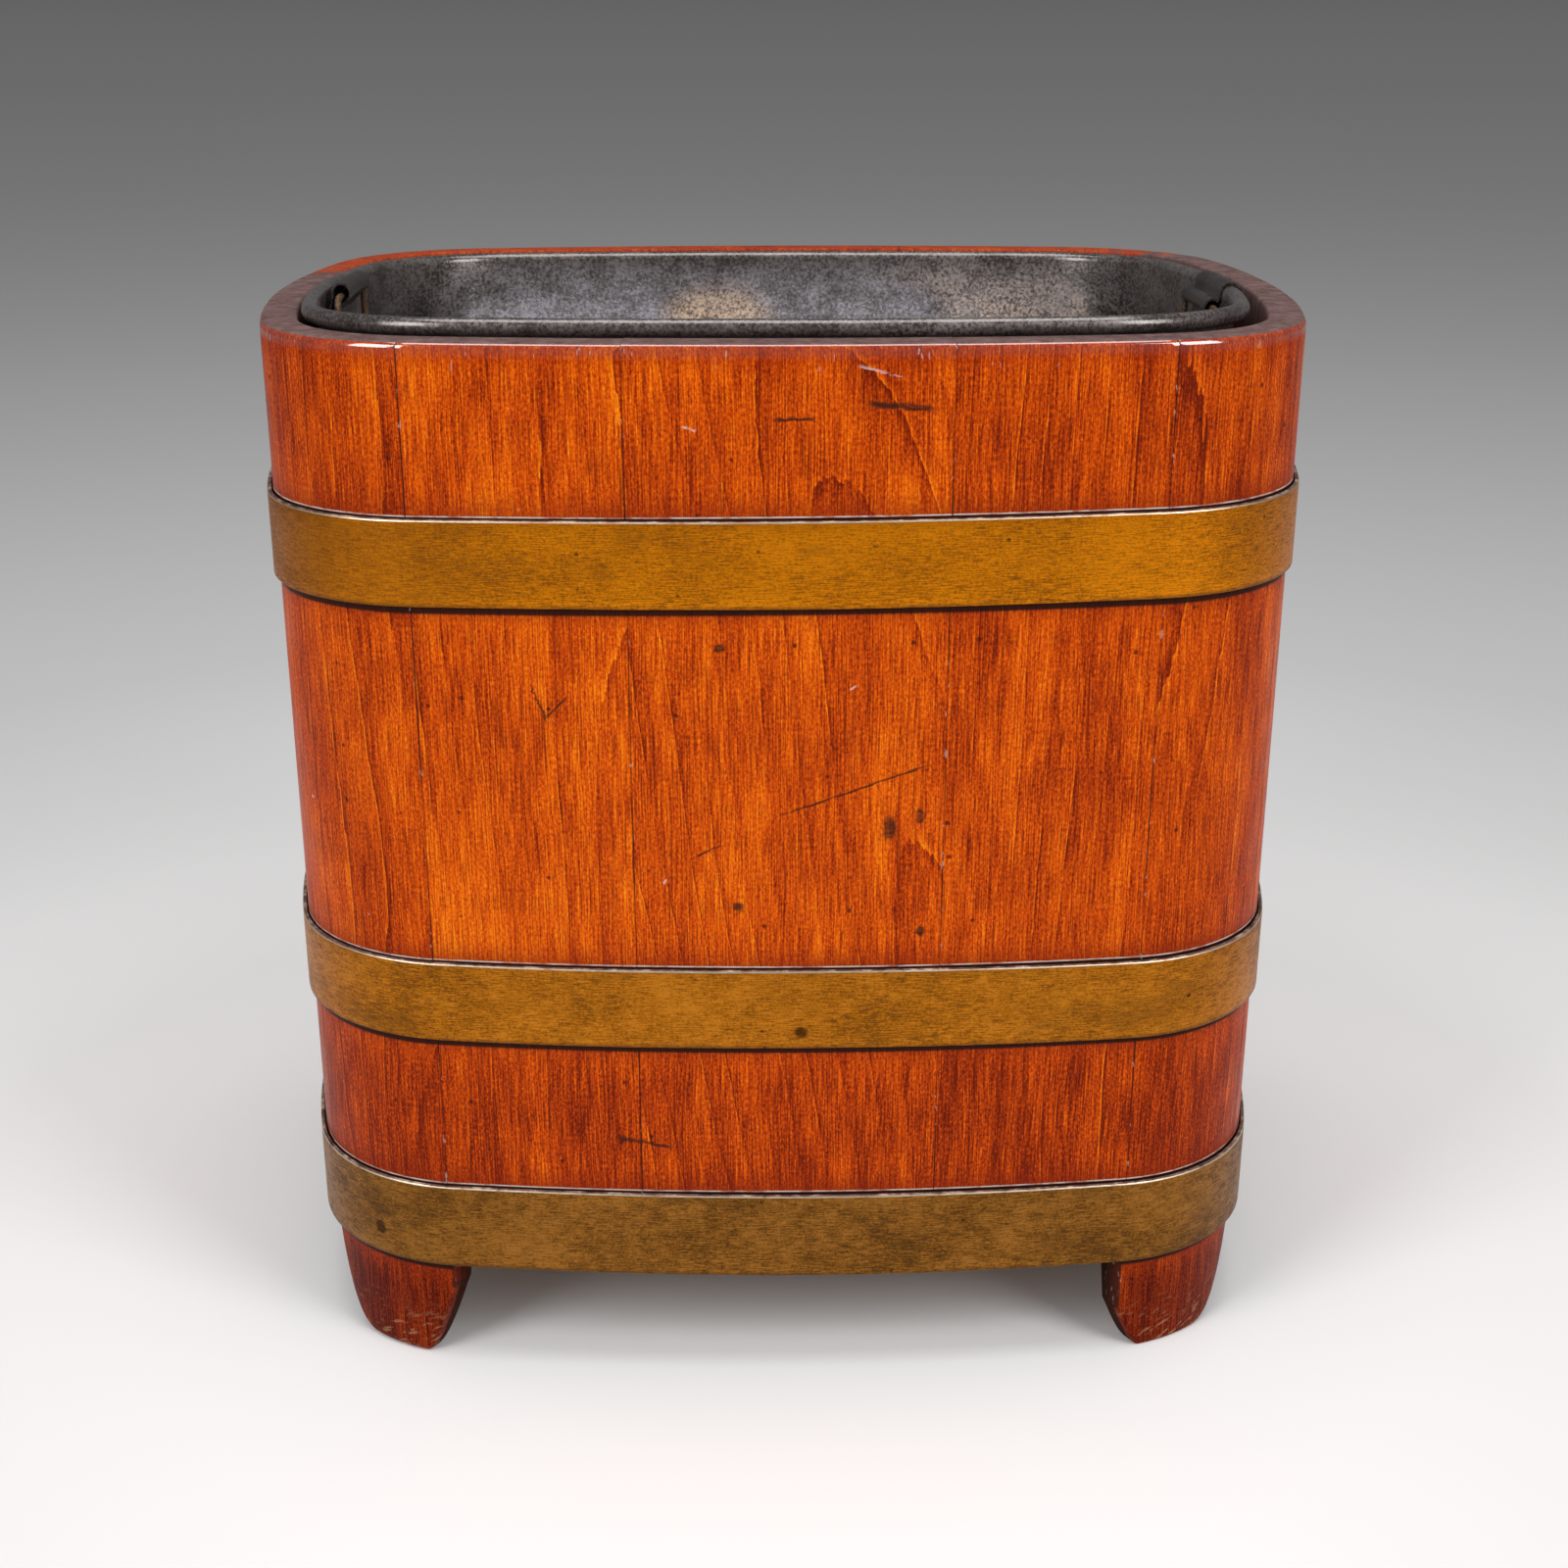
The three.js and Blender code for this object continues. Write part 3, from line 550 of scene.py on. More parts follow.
# Pale nicks; the two short last marks are painted glints of light
FRONT_NICKS_AND_GLINTS = [
    ((0.0221, 0.3752), (0.0381, 0.3706), 0.0006),
    ((-0.0352, 0.3556), (-0.0298, 0.3537), 0.0004),
    ((0.0208, 0.2652), (0.0232, 0.2668), 0.0005),
    ((-0.0434, 0.1945), (-0.0424, 0.1965), 0.0006),
]


def front_marks(x, y, z, outside, crust):
    """Dark and pale marks of the front, frayed by the crust's noise."""
    front = y.step(-0.1, -0.11) * outside
    frayed = (crust - 0.5) * 0.003
    across, up = x + frayed, z + frayed
    dark = [scratch(across, up, *mark) for mark in FRONT_SCRATCHES]
    dark += [spot(across, up, *mark) for mark in FRONT_STAINS]
    pale = [scratch(across, up, *mark) for mark in FRONT_NICKS_AND_GLINTS]
    return most(*dark) * front * crust.step(0.3, 0.6, 0.6, 0.95), most(*pale) * front * crust.step(0.4, 0.55)


def rim_rubs(place, z, outside):
    """Thin pale rubs that hang from the rim's arris, in patches."""
    rubbed = place.noise(0.014, 1.0).step(0.46, 0.62, 0.0, 0.12)
    rubs = (place.noise((0.0009, 0.0009, 0.005)) + rubbed).step(0.76, 0.82)
    return rubs * z.step(CASING_HEIGHT - 0.011, CASING_HEIGHT - 0.003) * outside


def bare_rim(x, y, place, flat):
    """Where the rim's top is bare, which kept its varnish at the back, and the bare wood's colour."""
    stain = place.noise(0.006, 4.0, 0.8)
    bare = stain.ramp((0.3, (0.09, 0.052, 0.047)), (0.5, (0.145, 0.087, 0.081)), (0.7, (0.21, 0.135, 0.125)))
    kept_from = x.step(-0.05, 0.1, -0.045, -0.11) + (stain - 0.5) * 0.08
    kept = (y + kept_from).step(-0.006, 0.008, 0.0, 0.85)
    return flat.step(0.3, 0.7) * (1 - kept), bare


def stave_wood():
    paint = Paint("varnished_staves")
    lie = paint.attribute("lie").parts()
    flat, shaded_inside, stave_tone = paint.attribute("face").parts()
    place = paint.place()
    x, y, z = place.parts()
    outside = lie[2].step(0.003, 0.001)
    tone, fine, thread, pores, streaks = wood_tone(paint, lie, stave_tone, z)

    speck = chosen_cells(place, 0.0105, 0.0011, 0.42)
    bruise = chosen_cells(place, 0.05, 0.0026, 0.6)
    # Glints: pale dots painted as highlights on small dents
    glint = chosen_cells(place, 0.031, 0.0009, 0.55)
    hair = paint.join(z + x * 0.3, x, y).noise((0.0005, 0.024, 0.05), 1.0).step(0.7, 0.76)
    hair = hair * place.noise(0.03).step(0.5, 0.62)
    red_end = z.step(CASING_HEIGHT - 0.012, CASING_HEIGHT, 0.0, 0.45)
    foot = z.step(0.047, 0.024)
    scuffs = paint.join(x + z * 0.8, y, z - x * 0.5).noise((0.007, 0.007, 0.0018), 3.0, 0.6)
    scuffs = z.step(0.026, 0.002) * scuffs.step(0.54, 0.66, 0.0, 0.6)
    near, dark, pale = hoop_edges(x, z)
    crust = place.noise((0.009, 0.009, 0.002), 3.0, 0.7)
    edge = lie[0].math("MINIMUM", lie[1])
    packed = place.noise(0.05, 1.0).step(0.4, 0.6, 0.25, 0.8)
    chips = edge.step(0.0007, 0.0003) * place.noise((0.002, 0.002, 0.004)).step(0.64, 0.7)
    bared, bare = bare_rim(x, y, place, flat)
    marks, nicks_and_glints = front_marks(x, y, z, outside, crust)
    nicks_and_glints = most(nicks_and_glints, rim_rubs(place, z, outside) * (1 - bared))

    colour = tone.ramp(
        (0.1, (0.14, 0.01, 0.001)),
        (0.3, (0.34, 0.032, 0.0012)),
        (0.46, (0.53, 0.062, 0.0014)),
        (0.6, (0.68, 0.101, 0.0018)),
        (0.76, (0.8, 0.17, 0.003)),
        (0.95, (0.88, 0.27, 0.009)),
    )
    colour = layered(
        colour,
        (pores * 0.45, (0.09, 0.008, 0.0015)),
        (streaks * 0.62, (0.14, 0.009, 0.0015)),
        (speck * 0.8, (0.05, 0.006, 0.002)),
        (bruise * 0.8, (0.05, 0.016, 0.006)),
        (glint * 0.7, (0.75, 0.5, 0.4)),
        (hair * 0.5, (0.13, 0.012, 0.002)),
        (red_end, (0.3, 0.02, 0.002)),
    )
    colour = foot.mix(colour, (0.46, 0.38, 0.5), "MULTIPLY")
    colour = layered(
        colour,
        (scuffs, (0.4, 0.2, 0.1)),
        (near * thread.step(0.3, 0.7, 0.3, 0.7), (0.2, 0.014, 0.003)),
        (pale * outside * crust.step(0.36, 0.56, 0.2, 0.9), (0.68, 0.58, 0.52)),
        # Painted shadow under each hoop, and dirt with painted shade in the gap over it
        (dark * outside * 0.94, (0.014, 0.006, 0.004)),
        (edge.step(0.0004, 0.0001) * packed, (0.022, 0.008, 0.005)),
        (chips * 0.6, (0.5, 0.33, 0.28)),
        (bared, bare),
        # Inside and sole faces painted near black: painted shade, a little darker low down
        (shaded_inside * z.step(0.05, 0.3, 0.9, 0.8), (0.02, 0.008, 0.005)),
        (marks, (0.04, 0.012, 0.006)),
        # Pale nicks and rubs, and painted glints
        (nicks_and_glints * 0.6, (0.68, 0.5, 0.44)),
    )

    # Varnish over the outside, rough where it is worn off, and thick on the arris of the rim.
    roughness = place.noise((0.02, 0.02, 0.03), 4.0, 0.6).step(0.3, 0.7, 0.26, 0.42)
    roughness = roughness + most(bared, shaded_inside) * 0.4
    normal = paint.bump(
        (fine * 0.4 + thread * 0.4 - pores * 0.5, 0.3, 0.0002),
        (place.noise((0.014, 0.014, 0.03), 3.0), 0.35, 0.0006),
        (most(speck, bruise, glint), -0.5, 0.0004),
    )
    varnish = z.step(CASING_HEIGHT - 0.006, CASING_HEIGHT - 0.002) * outside * (1 - bared)
    paint.set(base_color=colour, roughness=roughness, normal=normal, specular=0.05)
    paint.set(coat_weight=varnish, coat_roughness=0.09, coat_ior=2.3)
    return paint.material


def hoop_brass(name, bright, dull, dirt, left_dull, patchy):
    """Brass under a brown tarnish, heavier towards the left by left_dull and uneven by patchy."""
    paint = Paint(name)
    strip = paint.attribute("strip")
    _, up, turned = strip.parts()
    place = paint.place()
    x, _, _ = place.parts()
    mottle = place.noise((0.001, 0.001, 0.0008), 2.0, 0.75)
    brushed = strip.noise((0.006, 0.0004, 0.01), 2.0, 0.6)
    clouds = place.noise((0.04, 0.04, 0.024), 4.0, 0.55)
    patches = place.noise((0.007, 0.007, 0.0045), 3.0, 0.65)
    tone = mottle * 0.75 + brushed * 0.95 + clouds * 0.55 + (patches - 0.5) * patchy - 0.475
    tarnish = place.noise((0.05, 0.05, 0.018), 4.0, 0.6).step(0.54, 0.72)
    tarnish = most(tarnish, x.step(-0.08, -0.14, 0.0, left_dull))

    # Dark spots, fly specks and a grimy lower edge.
    frayed = place.vector("ADD", paint.join(mottle * 0.0022, 0.0, clouds * 0.006))
    marks = most(chosen_cells(frayed, 0.032, 0.0032, 0.45), chosen_cells(frayed, 0.009, 0.0009, 0.36))
    low = up.step(0.002, 0.0002) * clouds.step(0.3, 0.6)

    # The upper arris is rubbed bright, and dirt lies on the top edge behind it.
    worn = place.noise((0.006, 0.006, 0.002), 3.0, 0.7)
    arris = turned.step(0.03, 0.2) * turned.step(0.85, 0.6) * worn.step(0.3, 0.5, 0.35, 0.9)
    crud = worn.ramp((0.34, (0.04, 0.02, 0.018)), (0.52, (0.2, 0.11, 0.09)), (0.66, (0.58, 0.44, 0.34)))
    colour = layered(
        tone.ramp((0.44, dirt), (0.6, dull), (0.82, bright)),
        (tarnish * 0.5, dirt),
        (marks * 0.75, (0.045, 0.018, 0.006)),
        (low * 0.6, (0.06, 0.03, 0.012)),
        (arris, (0.95, 0.8, 0.6)),
        (turned.step(0.62, 0.85), crud),
    )
    roughness = tone.step(0.45, 0.8, 0.55, 0.38) + marks * 0.25 - arris * 0.1
    normal = paint.bump((mottle * 0.6 + brushed * 0.4, 0.2, 0.0002), (clouds, 0.25, 0.0008))
    metal = turned.step(0.85, 0.62, 0.1, 1.0)
    paint.set(base_color=colour, roughness=roughness, normal=normal, metallic=metal)
    return paint.material


def liner_iron():
    paint = Paint("blackened_sheet_iron")
    place = paint.place()
    curl, _, fitting = paint.attribute("sheet").parts()
    x, y, z = place.parts()
    fine = place.noise(0.0013, 3.0, 0.7)
    clouds = place.noise((0.016, 0.016, 0.012), 4.0, 0.65)
    broad = place.noise((0.08, 0.08, 0.05))
    tone = fine * 0.9 + clouds * 0.6 - 0.25

    # Rust in the patch that shows on the back wall, and thinner elsewhere.
    rust = spot(x, z, (-0.025, 0.352), 0.03, 0.7) * y.step(0.08, 0.1) * fine.step(0.32, 0.5)
    rust = most(rust, broad.step(0.55, 0.68, 0.0, 0.7) * fine.step(0.4, 0.56))
    rusty = fine.ramp((0.35, (0.34, 0.2, 0.12)), (0.6, (0.85, 0.63, 0.47)), (0.8, (1.0, 0.86, 0.7)))

    # Soot in patches and low down, and painted shade towards the end corners.
    soot = place.noise((0.03, 0.03, 0.02), 3.0, 0.6)
    corners = (abs(x) + (soot - 0.5) * 0.08).step(0.104, 0.14, 0.0, 0.95)
    low = (z - soot * 0.1).step(0.22, 0.04, 0.0, 0.8)
    soot_and_shade = most(soot.step(0.54, 0.72, 0.0, 0.5), corners, low)
    black = tone.step(0.4, 0.66).mix((0.022, 0.017, 0.015), (0.1, 0.083, 0.075))

    # The rolled rim is browner, worn to grey metal in small patches, and the fittings are darker.
    worn = (fine * 0.65 + clouds * 0.35).step(0.38, 0.62)
    colour = layered(
        tone.ramp((0.34, (0.26, 0.23, 0.235)), (0.5, (0.47, 0.43, 0.455)), (0.66, (0.74, 0.7, 0.78))),
        (rust, rusty),
        # Soot, with painted shade at the end corners
        (soot_and_shade, black),
        (curl, worn.mix((0.06, 0.045, 0.04), (0.22, 0.19, 0.18))),
        (fitting, worn.mix((0.02, 0.015, 0.013), (0.1, 0.082, 0.074))),
    )
    roughness = tone.step(0.35, 0.7, 0.32, 0.5) - curl * 0.1
    normal = paint.bump((fine, 0.25, 0.0003), (clouds, 0.3, 0.0012))
    paint.set(base_color=colour, roughness=roughness, normal=normal, metallic=0.6 - rust * 0.4)
    paint.set(coat_weight=curl * 0.35, coat_roughness=0.2, coat_ior=2.0)
    return paint.material


def rusty_wire():
    paint = Paint("rusty_wire")
    fine = paint.place().noise((0.0012, 0.0012, 0.0016), 4.0, 0.7)
    colour = fine.ramp((0.3, (0.02, 0.01, 0.006)), (0.5, (0.1, 0.05, 0.026)), (0.7, (0.24, 0.14, 0.08)))
    paint.set(base_color=colour, roughness=fine.step(0.3, 0.7, 0.45, 0.75), metallic=0.35)
    paint.set(normal=paint.bump((fine, 0.5, 0.0003)))
    return paint.material


def board_wood():
    paint = Paint("bare_boards")
    place = paint.place()
    fibre = place.noise((0.05, 0.0012, 0.0012), 3.0, 0.6)
    tone = fibre * 0.55 + place.noise((0.12, 0.012, 0.02), 3.0) * 0.5
    colour = tone.ramp((0.35, (0.07, 0.03, 0.013)), (0.52, (0.19, 0.09, 0.04)), (0.7, (0.33, 0.18, 0.09)))
    paint.set(base_color=colour, roughness=tone.step(0.35, 0.7, 0.75, 0.6))
    paint.set(normal=paint.bump((fibre, 0.4, 0.0004)))
    return paint.material


# Staves

def stave_joints():
    quarter = casing_plan.length / 4
    of_quarter = [
        (MIDDLE_STAVE_WIDTH / 2, 0),
        (MIDDLE_STAVE_WIDTH / 2 + SIDE_STAVE_WIDTH, -CORNER_JOINT_SKEW),
        (quarter - END_STAVE_WIDTH / 2 - END_STAVE_WIDTH, CORNER_JOINT_SKEW),
        (quarter - END_STAVE_WIDTH / 2, 0),
    ]
    mirrored = [(-at, -lean) for at, lean in of_quarter]
    joints = []
    for side, turned in ((of_quarter, 0), (mirrored, 2), (of_quarter, 2), (mirrored, 4)):
        joints += [(at + turned * quarter, lean) for at, lean in side]
    return sorted(joints)


def sole_height(sweeps, distances):
    """Height of a foot's sole, at these distances from the stave's start and finish."""
    return max(
        height * max(1 - distance / width, 0) ** power
        for (width, height, power), distance in zip(sweeps, distances)
    )


def stave_section(bottom, is_foot, top, sole_round):
    """Depth in from the outside against height, and for each point whether it is bare, and whether it is out
    of sight, where the wood is painted dark as shade.
    """
    wall = STAVE_WALL
    toe = mix(FOOT_TOE_THICKNESS, wall, bottom / FOOT_SHOULDER_HEIGHT) if is_foot else wall
    skirt = bottom + sole_round
    low_face = 62 * MM
    groove_top = BASE_BOTTOM + BASE_THICKNESS + SEAT_GAP
    groove_low = BASE_BOTTOM - SEAT_GAP
    rim_round = arc((RIM_OUTER_ROUND, top - RIM_OUTER_ROUND), RIM_OUTER_ROUND, math.pi, math.pi / 2, 6)
    outer = [
        arc((sole_round, skirt), sole_round, -math.pi / 2, -math.pi, 4),
        line((0, skirt), (0, low_face), 8),
        [(0, low_face)],
        line((0, low_face), (0, top - RIM_OUTER_ROUND), 30),
        rim_round[:4],
    ]
    inner_round = arc((wall - RIM_INNER_ROUND, top - RIM_INNER_ROUND), RIM_INNER_ROUND, math.pi / 2, 0, 3)
    flat = [rim_round[4:], line((RIM_OUTER_ROUND, top), (wall - RIM_INNER_ROUND, top), 4), inner_round]
    inner = [
        line((wall, top - RIM_INNER_ROUND), (wall, groove_top), 10),
        [(wall, groove_top), (wall - GROOVE_DEPTH, groove_top)],
        [(wall - GROOVE_DEPTH, groove_low), (wall, groove_low)],
    ]
    shoulder = FOOT_SHOULDER_HEIGHT if is_foot else mix(bottom, groove_low, 0.5)
    inner.append([(wall, shoulder)])
    inner.append(line((wall, shoulder), (toe, bottom + SOLE_ROUND), 4))
    inner.append(arc((toe - SOLE_ROUND, bottom + SOLE_ROUND), SOLE_ROUND, 0, -math.pi / 2, 3))
    sole = [line((toe - SOLE_ROUND, bottom), (sole_round, bottom), 3)]
    groups = [(outer, 0, 0), (flat, 1, 0), (inner, 0, 1), (sole, 0, 1)]
    points = [np.array(run, float) for runs, _, _ in groups for run in runs]
    flags = [np.tile((bare, inside), (len(run), 1)) for runs, bare, inside in groups for run in runs]
    return np.concatenate(points), np.concatenate(flags)


def add_stave(name, start_joint, end_joint, sweeps, material, rng):
    start = start_joint[0] + STAVE_JOINT_GAP / 2
    finish = end_joint[0] - STAVE_JOINT_GAP / 2
    width = finish - start
    turns = np.radians([0, 30, 60, 90])
    arris = [(STAVE_ARRIS * (1 - math.cos(turn)), STAVE_ARRIS * (1 - math.sin(turn))) for turn in turns]
    body = np.linspace(STAVE_ARRIS, width - STAVE_ARRIS, max(int(width / STATION_SPACING), 4))[1:-1].tolist()
    for end, (reach, _, _) in enumerate(sweeps):
        steps = reach * np.linspace(0, 1, 14)[1:] ** 1.3
        body += (width - steps if end else steps).tolist()
    body = [u for u in body if STAVE_ARRIS * 1.5 < u < width - STAVE_ARRIS * 1.5]
    rows = arris + [(u, 0) for u in sorted(body)]
    rows += [(width - shift, inward) for shift, inward in arris[::-1]]

    top = CASING_HEIGHT - rng.uniform(0, STAVE_STEP)
    recess = rng.uniform(0, STAVE_STEP)
    phases = rng.uniform(0, 2 * math.pi, 4)
    points, lie, face, grain = [], [], [], []
    tone, heart_across, heart_depth, lean_across, lean_depth = TREES[name]
    for u, inward in rows:
        bottom = sole_height(sweeps, (u, width - u)) if sweeps else PLAIN_STAVE_BOTTOM
        sole_round = WORN_SOLE_ROUND if LEFT_HEEL in sweeps else SOLE_ROUND
        section, flags = stave_section(bottom, bool(sweeps), top, sole_round)
        section = inset(section, inward)
        depth, z = section.T
        wave = np.sin(z / (45 * MM) + phases[0]) * np.sin(u / (20 * MM) + phases[1])
        wave += np.sin(z / (110 * MM) + phases[2]) + 2
        shown = depth + (recess + STAVE_RIPPLE * wave / 2) * np.clip(1 - depth / STAVE_WALL, 0, 1)
        skew = mix(start_joint[1], end_joint[1], u / width) * depth / STAVE_WALL
        points.append(casing_point(start + u + skew, -shown, z))
        lie.append(columns(u, width - u, depth))
        face.append(columns(*flags.T, tone))
        across = u - width / 2 - heart_across + lean_across * z
        deep = depth + heart_depth + lean_depth * z
        grain.append(columns(across, deep, z + 3 * tone))
    return add_piece(name, "casing", "stave_wood", material, points, lie=lie, face=face, grain=grain)


# The sweeps of each foot, at its stave's start and at its finish
FEET = {
    "stave_corner_front_right": (RIGHT_HEEL, FOOT_SWEEP),
    "stave_corner_back_right": (FOOT_SWEEP, RIGHT_HEEL),
    "stave_corner_back_left": (LEFT_HEEL, FOOT_SWEEP),
    "stave_corner_front_left": (FOOT_SWEEP, LEFT_HEEL),
}
STAVE_NAMES = [f"stave_{place}" for place in (
    "front_right", "corner_front_right", "end_right_front", "end_right_middle", "end_right_back",
    "corner_back_right", "back_right", "back_middle", "back_left", "corner_back_left", "end_left_back",
    "end_left_middle", "end_left_front", "corner_front_left", "front_left", "front_middle",
)]


def add_staves():
    material = stave_wood()
    joints = stave_joints()
    rng = np.random.default_rng(7)
    for i, name in enumerate(STAVE_NAMES):
        following = joints[(i + 1) % len(joints)]
        if i + 1 == len(joints):
            following = (following[0] + casing_plan.length, following[1])
        add_stave(name, joints[i], following, FEET.get(name, ()), material, rng)


def choose_trees():
    """How light each stave is, where the heart of its tree lies from it, and how that leans."""
    rng = np.random.default_rng(11)
    trees = {}
    for name in STAVE_NAMES:
        tone = rng.uniform(0.4, 0.58)
        side = rng.choice([-1, 1])
        place = (side * rng.uniform(35, 90) * MM, rng.uniform(10, 60) * MM)
        trees[name] = (tone, *place, rng.uniform(-0.03, 0.03), rng.uniform(-0.03, 0.03))
    trees["stave_front_middle"] = (0.5, 86 * MM, 1 * MM, 0.2, 0.11)
    return trees


TREES = choose_trees()


# Hoops and rivets

def lathe(profile, foot, direction, steps=20):
    """Rows of points round an axis from foot along direction; profile is (distance out, distance along)."""
    axis = Vector(direction).normalized()
    turn = Vector((0, 0, 1)).rotation_difference(axis).to_matrix()
    angles = [2 * math.pi * k / steps for k in range(steps)]
    rows = []
    for radius, height in profile:
        ring = [Vector((radius * math.cos(angle), radius * math.sin(angle), height)) for angle in angles]
        rows.append([Vector(foot) + turn @ point for point in ring])
    return np.array(rows)


def dome_profile(tail, grip, shank, head, dome):
    """A rivet from its tail's end over its shank to its domed head, whose seat is at grip."""
    angles = np.linspace(0, math.pi / 2, 7)[:-1]
    cap = [(head * math.cos(angle), grip + dome * math.sin(angle)) for angle in angles]
    return [(RIVET_TIP, tail[0][1])] + tail + [(shank, grip)] + cap + [(head * 0.05, grip + dome)]


def hoop_height(hoop, station):
    bottom, _, rise = HOOPS[hoop]
    return bottom + rise * casing_plan.place(station, 0)[0] / CASING_WIDTH


def add_hoop(hoop, material):
    bottom, width, _ = HOOPS[hoop]
    start = casing_plan.length / 2 - HOOP_LAP / 2
    lap_start = start + casing_plan.length
    finish = lap_start + HOOP_LAP
    step = HOOP_THICKNESS + SEAT_GAP
    even = np.linspace(start, finish, HOOP_STEPS)
    extra = np.linspace(lap_start - HOOP_LAP_RAMP, lap_start, 7)
    stations = np.sort(np.concatenate([even, extra]))[:, None]
    t, e, r = HOOP_THICKNESS, HOOP_EDGE, HOOP_TOP_ROUND
    section = np.concatenate([
        arc((e, e), e, -math.pi / 2, -math.pi, 3)[::-1],
        line((e, 0), (t - e, 0), 2),
        arc((t - e, e), e, -math.pi / 2, 0, 3),
        line((t, e), (t, width - r), 8),
        arc((t - r, width - r), r, 0, math.pi / 2, 5),
        line((t - r, width), (e, width), 2),
        arc((e, width - e), e, math.pi / 2, math.pi, 3),
        line((0, width - e), (0, e), 3),
    ])
    ramp = np.clip((stations - lap_start + HOOP_LAP_RAMP) / HOOP_LAP_RAMP, 0, 1)
    ramp = ramp * ramp * (3 - 2 * ramp)
    phase = bottom * 100
    sway = HOOP_SWAY * (np.sin(stations / (31 * MM) + phase) + np.sin(stations / (83 * MM) + 2 * phase))
    out, up = section.T
    height = up + hoop_height(hoop, stations) + sway
    points = casing_point(stations, out + (SEAT_GAP + step * ramp), height)
    strip = columns(stations, up, np.clip((up - (width - r)) / r, 0, 1))
    add_piece(f"hoop_{hoop}", "casing", "hoop_brass", material, points, sharp=60, strip=strip)
    for i, side in enumerate(("right", "left")):
        station = start + HOOP_LAP * (i + 1) / 3
        height = hoop_height(hoop, station) + width / 2
        foot = casing_point(station, SEAT_GAP, height)
        outward = casing_point(station, SEAT_GAP + step + HOOP_THICKNESS, height) - foot
        grip = float(np.linalg.norm(outward)) + SEAT_GAP
        tail = [(HOOP_RIVET_SHANK + HOOP_RIVET_SINK, 0), (HOOP_RIVET_SHANK, HOOP_RIVET_SINK)]
        profile = dome_profile(tail, grip, HOOP_RIVET_SHANK, HOOP_RIVET_HEAD, HOOP_RIVET_DOME)
        rows = lathe(profile, foot, outward)
        strip = rows * 0 + (station, width / 2, 0)
        add_piece(f"hoop_{hoop}_rivet_{side}", "casing", "hoop_brass", material, rows, strip=strip)


# Liner

def liner_wave(station, z):
    """How far the liner's wall is dented in at a point: nothing at the foot and at the straps."""
    x, _ = liner_plan.place(station, 0)
    window = np.clip(z / LINER_HEIGHT, 0, 1) * np.clip(1.25 - np.abs(x) / (0.4 * LINER_WIDTH), 0, 1)
    return LINER_DENT * window * (np.sin(station / (41 * MM)) + np.sin(station / (19 * MM) + 1) / 2)


def liner_rows(stations, section):
    out, up = section.T
    return liner_point(stations, out + liner_wave(stations, up), up)


def add_liner():
    iron, wire = liner_iron(), rusty_wire()
    curl_centre = (RIM_CURL_RADIUS - LINER_SHEET, LINER_HEIGHT)
    curl = arc(curl_centre, RIM_CURL_RADIUS - LINER_SHEET / 2, math.pi, math.pi - RIM_CURL_TURN, 26)
    foot = (-LINER_SHEET / 2, 0)
    wall = line(foot, curl[0], 14)
    outline = bent_sheet(np.concatenate([[foot], wall, curl]), LINER_SHEET)
    on_curl = [0] * (1 + len(wall)) + [1] * len(curl)
    on_curl += on_curl[::-1]
    stations = np.linspace(0, liner_plan.length, LINER_STEPS, endpoint=False)[:, None]
    shell = liner_rows(stations, outline)
    sheet = columns(on_curl, outline[:, 1], 0 * stations)
    add_piece("liner_shell", "liner", "liner_iron", iron, shell, ring=True, sheet=sheet)

    core = arc(curl_centre, RIM_CURL_RADIUS - LINER_SHEET - SEAT_GAP, 0, 2 * math.pi, 10)[1:]
    add_piece("liner_rim_wire", "liner", "handle_wire", wire, liner_rows(stations, core), ring=True)
    add_liner_base(iron)
    for side in ("left", "right"):
        add_handle(side, iron, wire)


def add_liner_base(material):
    flange = -LINER_SHEET - LINER_BASE_GAP
    inner = flange - LINER_SHEET
    top = LINER_BASE_RAISE
    corner = 1.2 * MM
    stations = np.linspace(0, liner_plan.length, LINER_BASE_STEPS, endpoint=False)
    profile = [(inner, top - LINER_SHEET), (inner, LINER_BASE_GAP)]
    profile += [(flange, LINER_BASE_GAP), (flange, top - corner)]
    profile += arc((flange - corner, top - corner), corner, 0, math.pi / 2, 4)[1:].tolist()
    rim_rows = [liner_point(stations, offset, z) for offset, z in profile]
    shares = np.linspace(1, 0.02, 16)[1:]

    def inward(row):
        centre = row.mean(0)
        rows = []
        for share in shares:
            ring = centre + (row - centre) * share
            x, y, _ = ring.T
            buckle = np.sin(x / (43 * MM) + 1) * np.sin(y / (37 * MM)) + np.sin((x + y) / (70 * MM))
            ring[:, 2] += BASE_BUCKLE * buckle * (1 - share ** 6)
            rows.append(ring)
        return rows

    rows = inward(rim_rows[0])[::-1] + rim_rows + inward(rim_rows[-1])
    add_piece("liner_base", "liner", "liner_iron", material, rows)


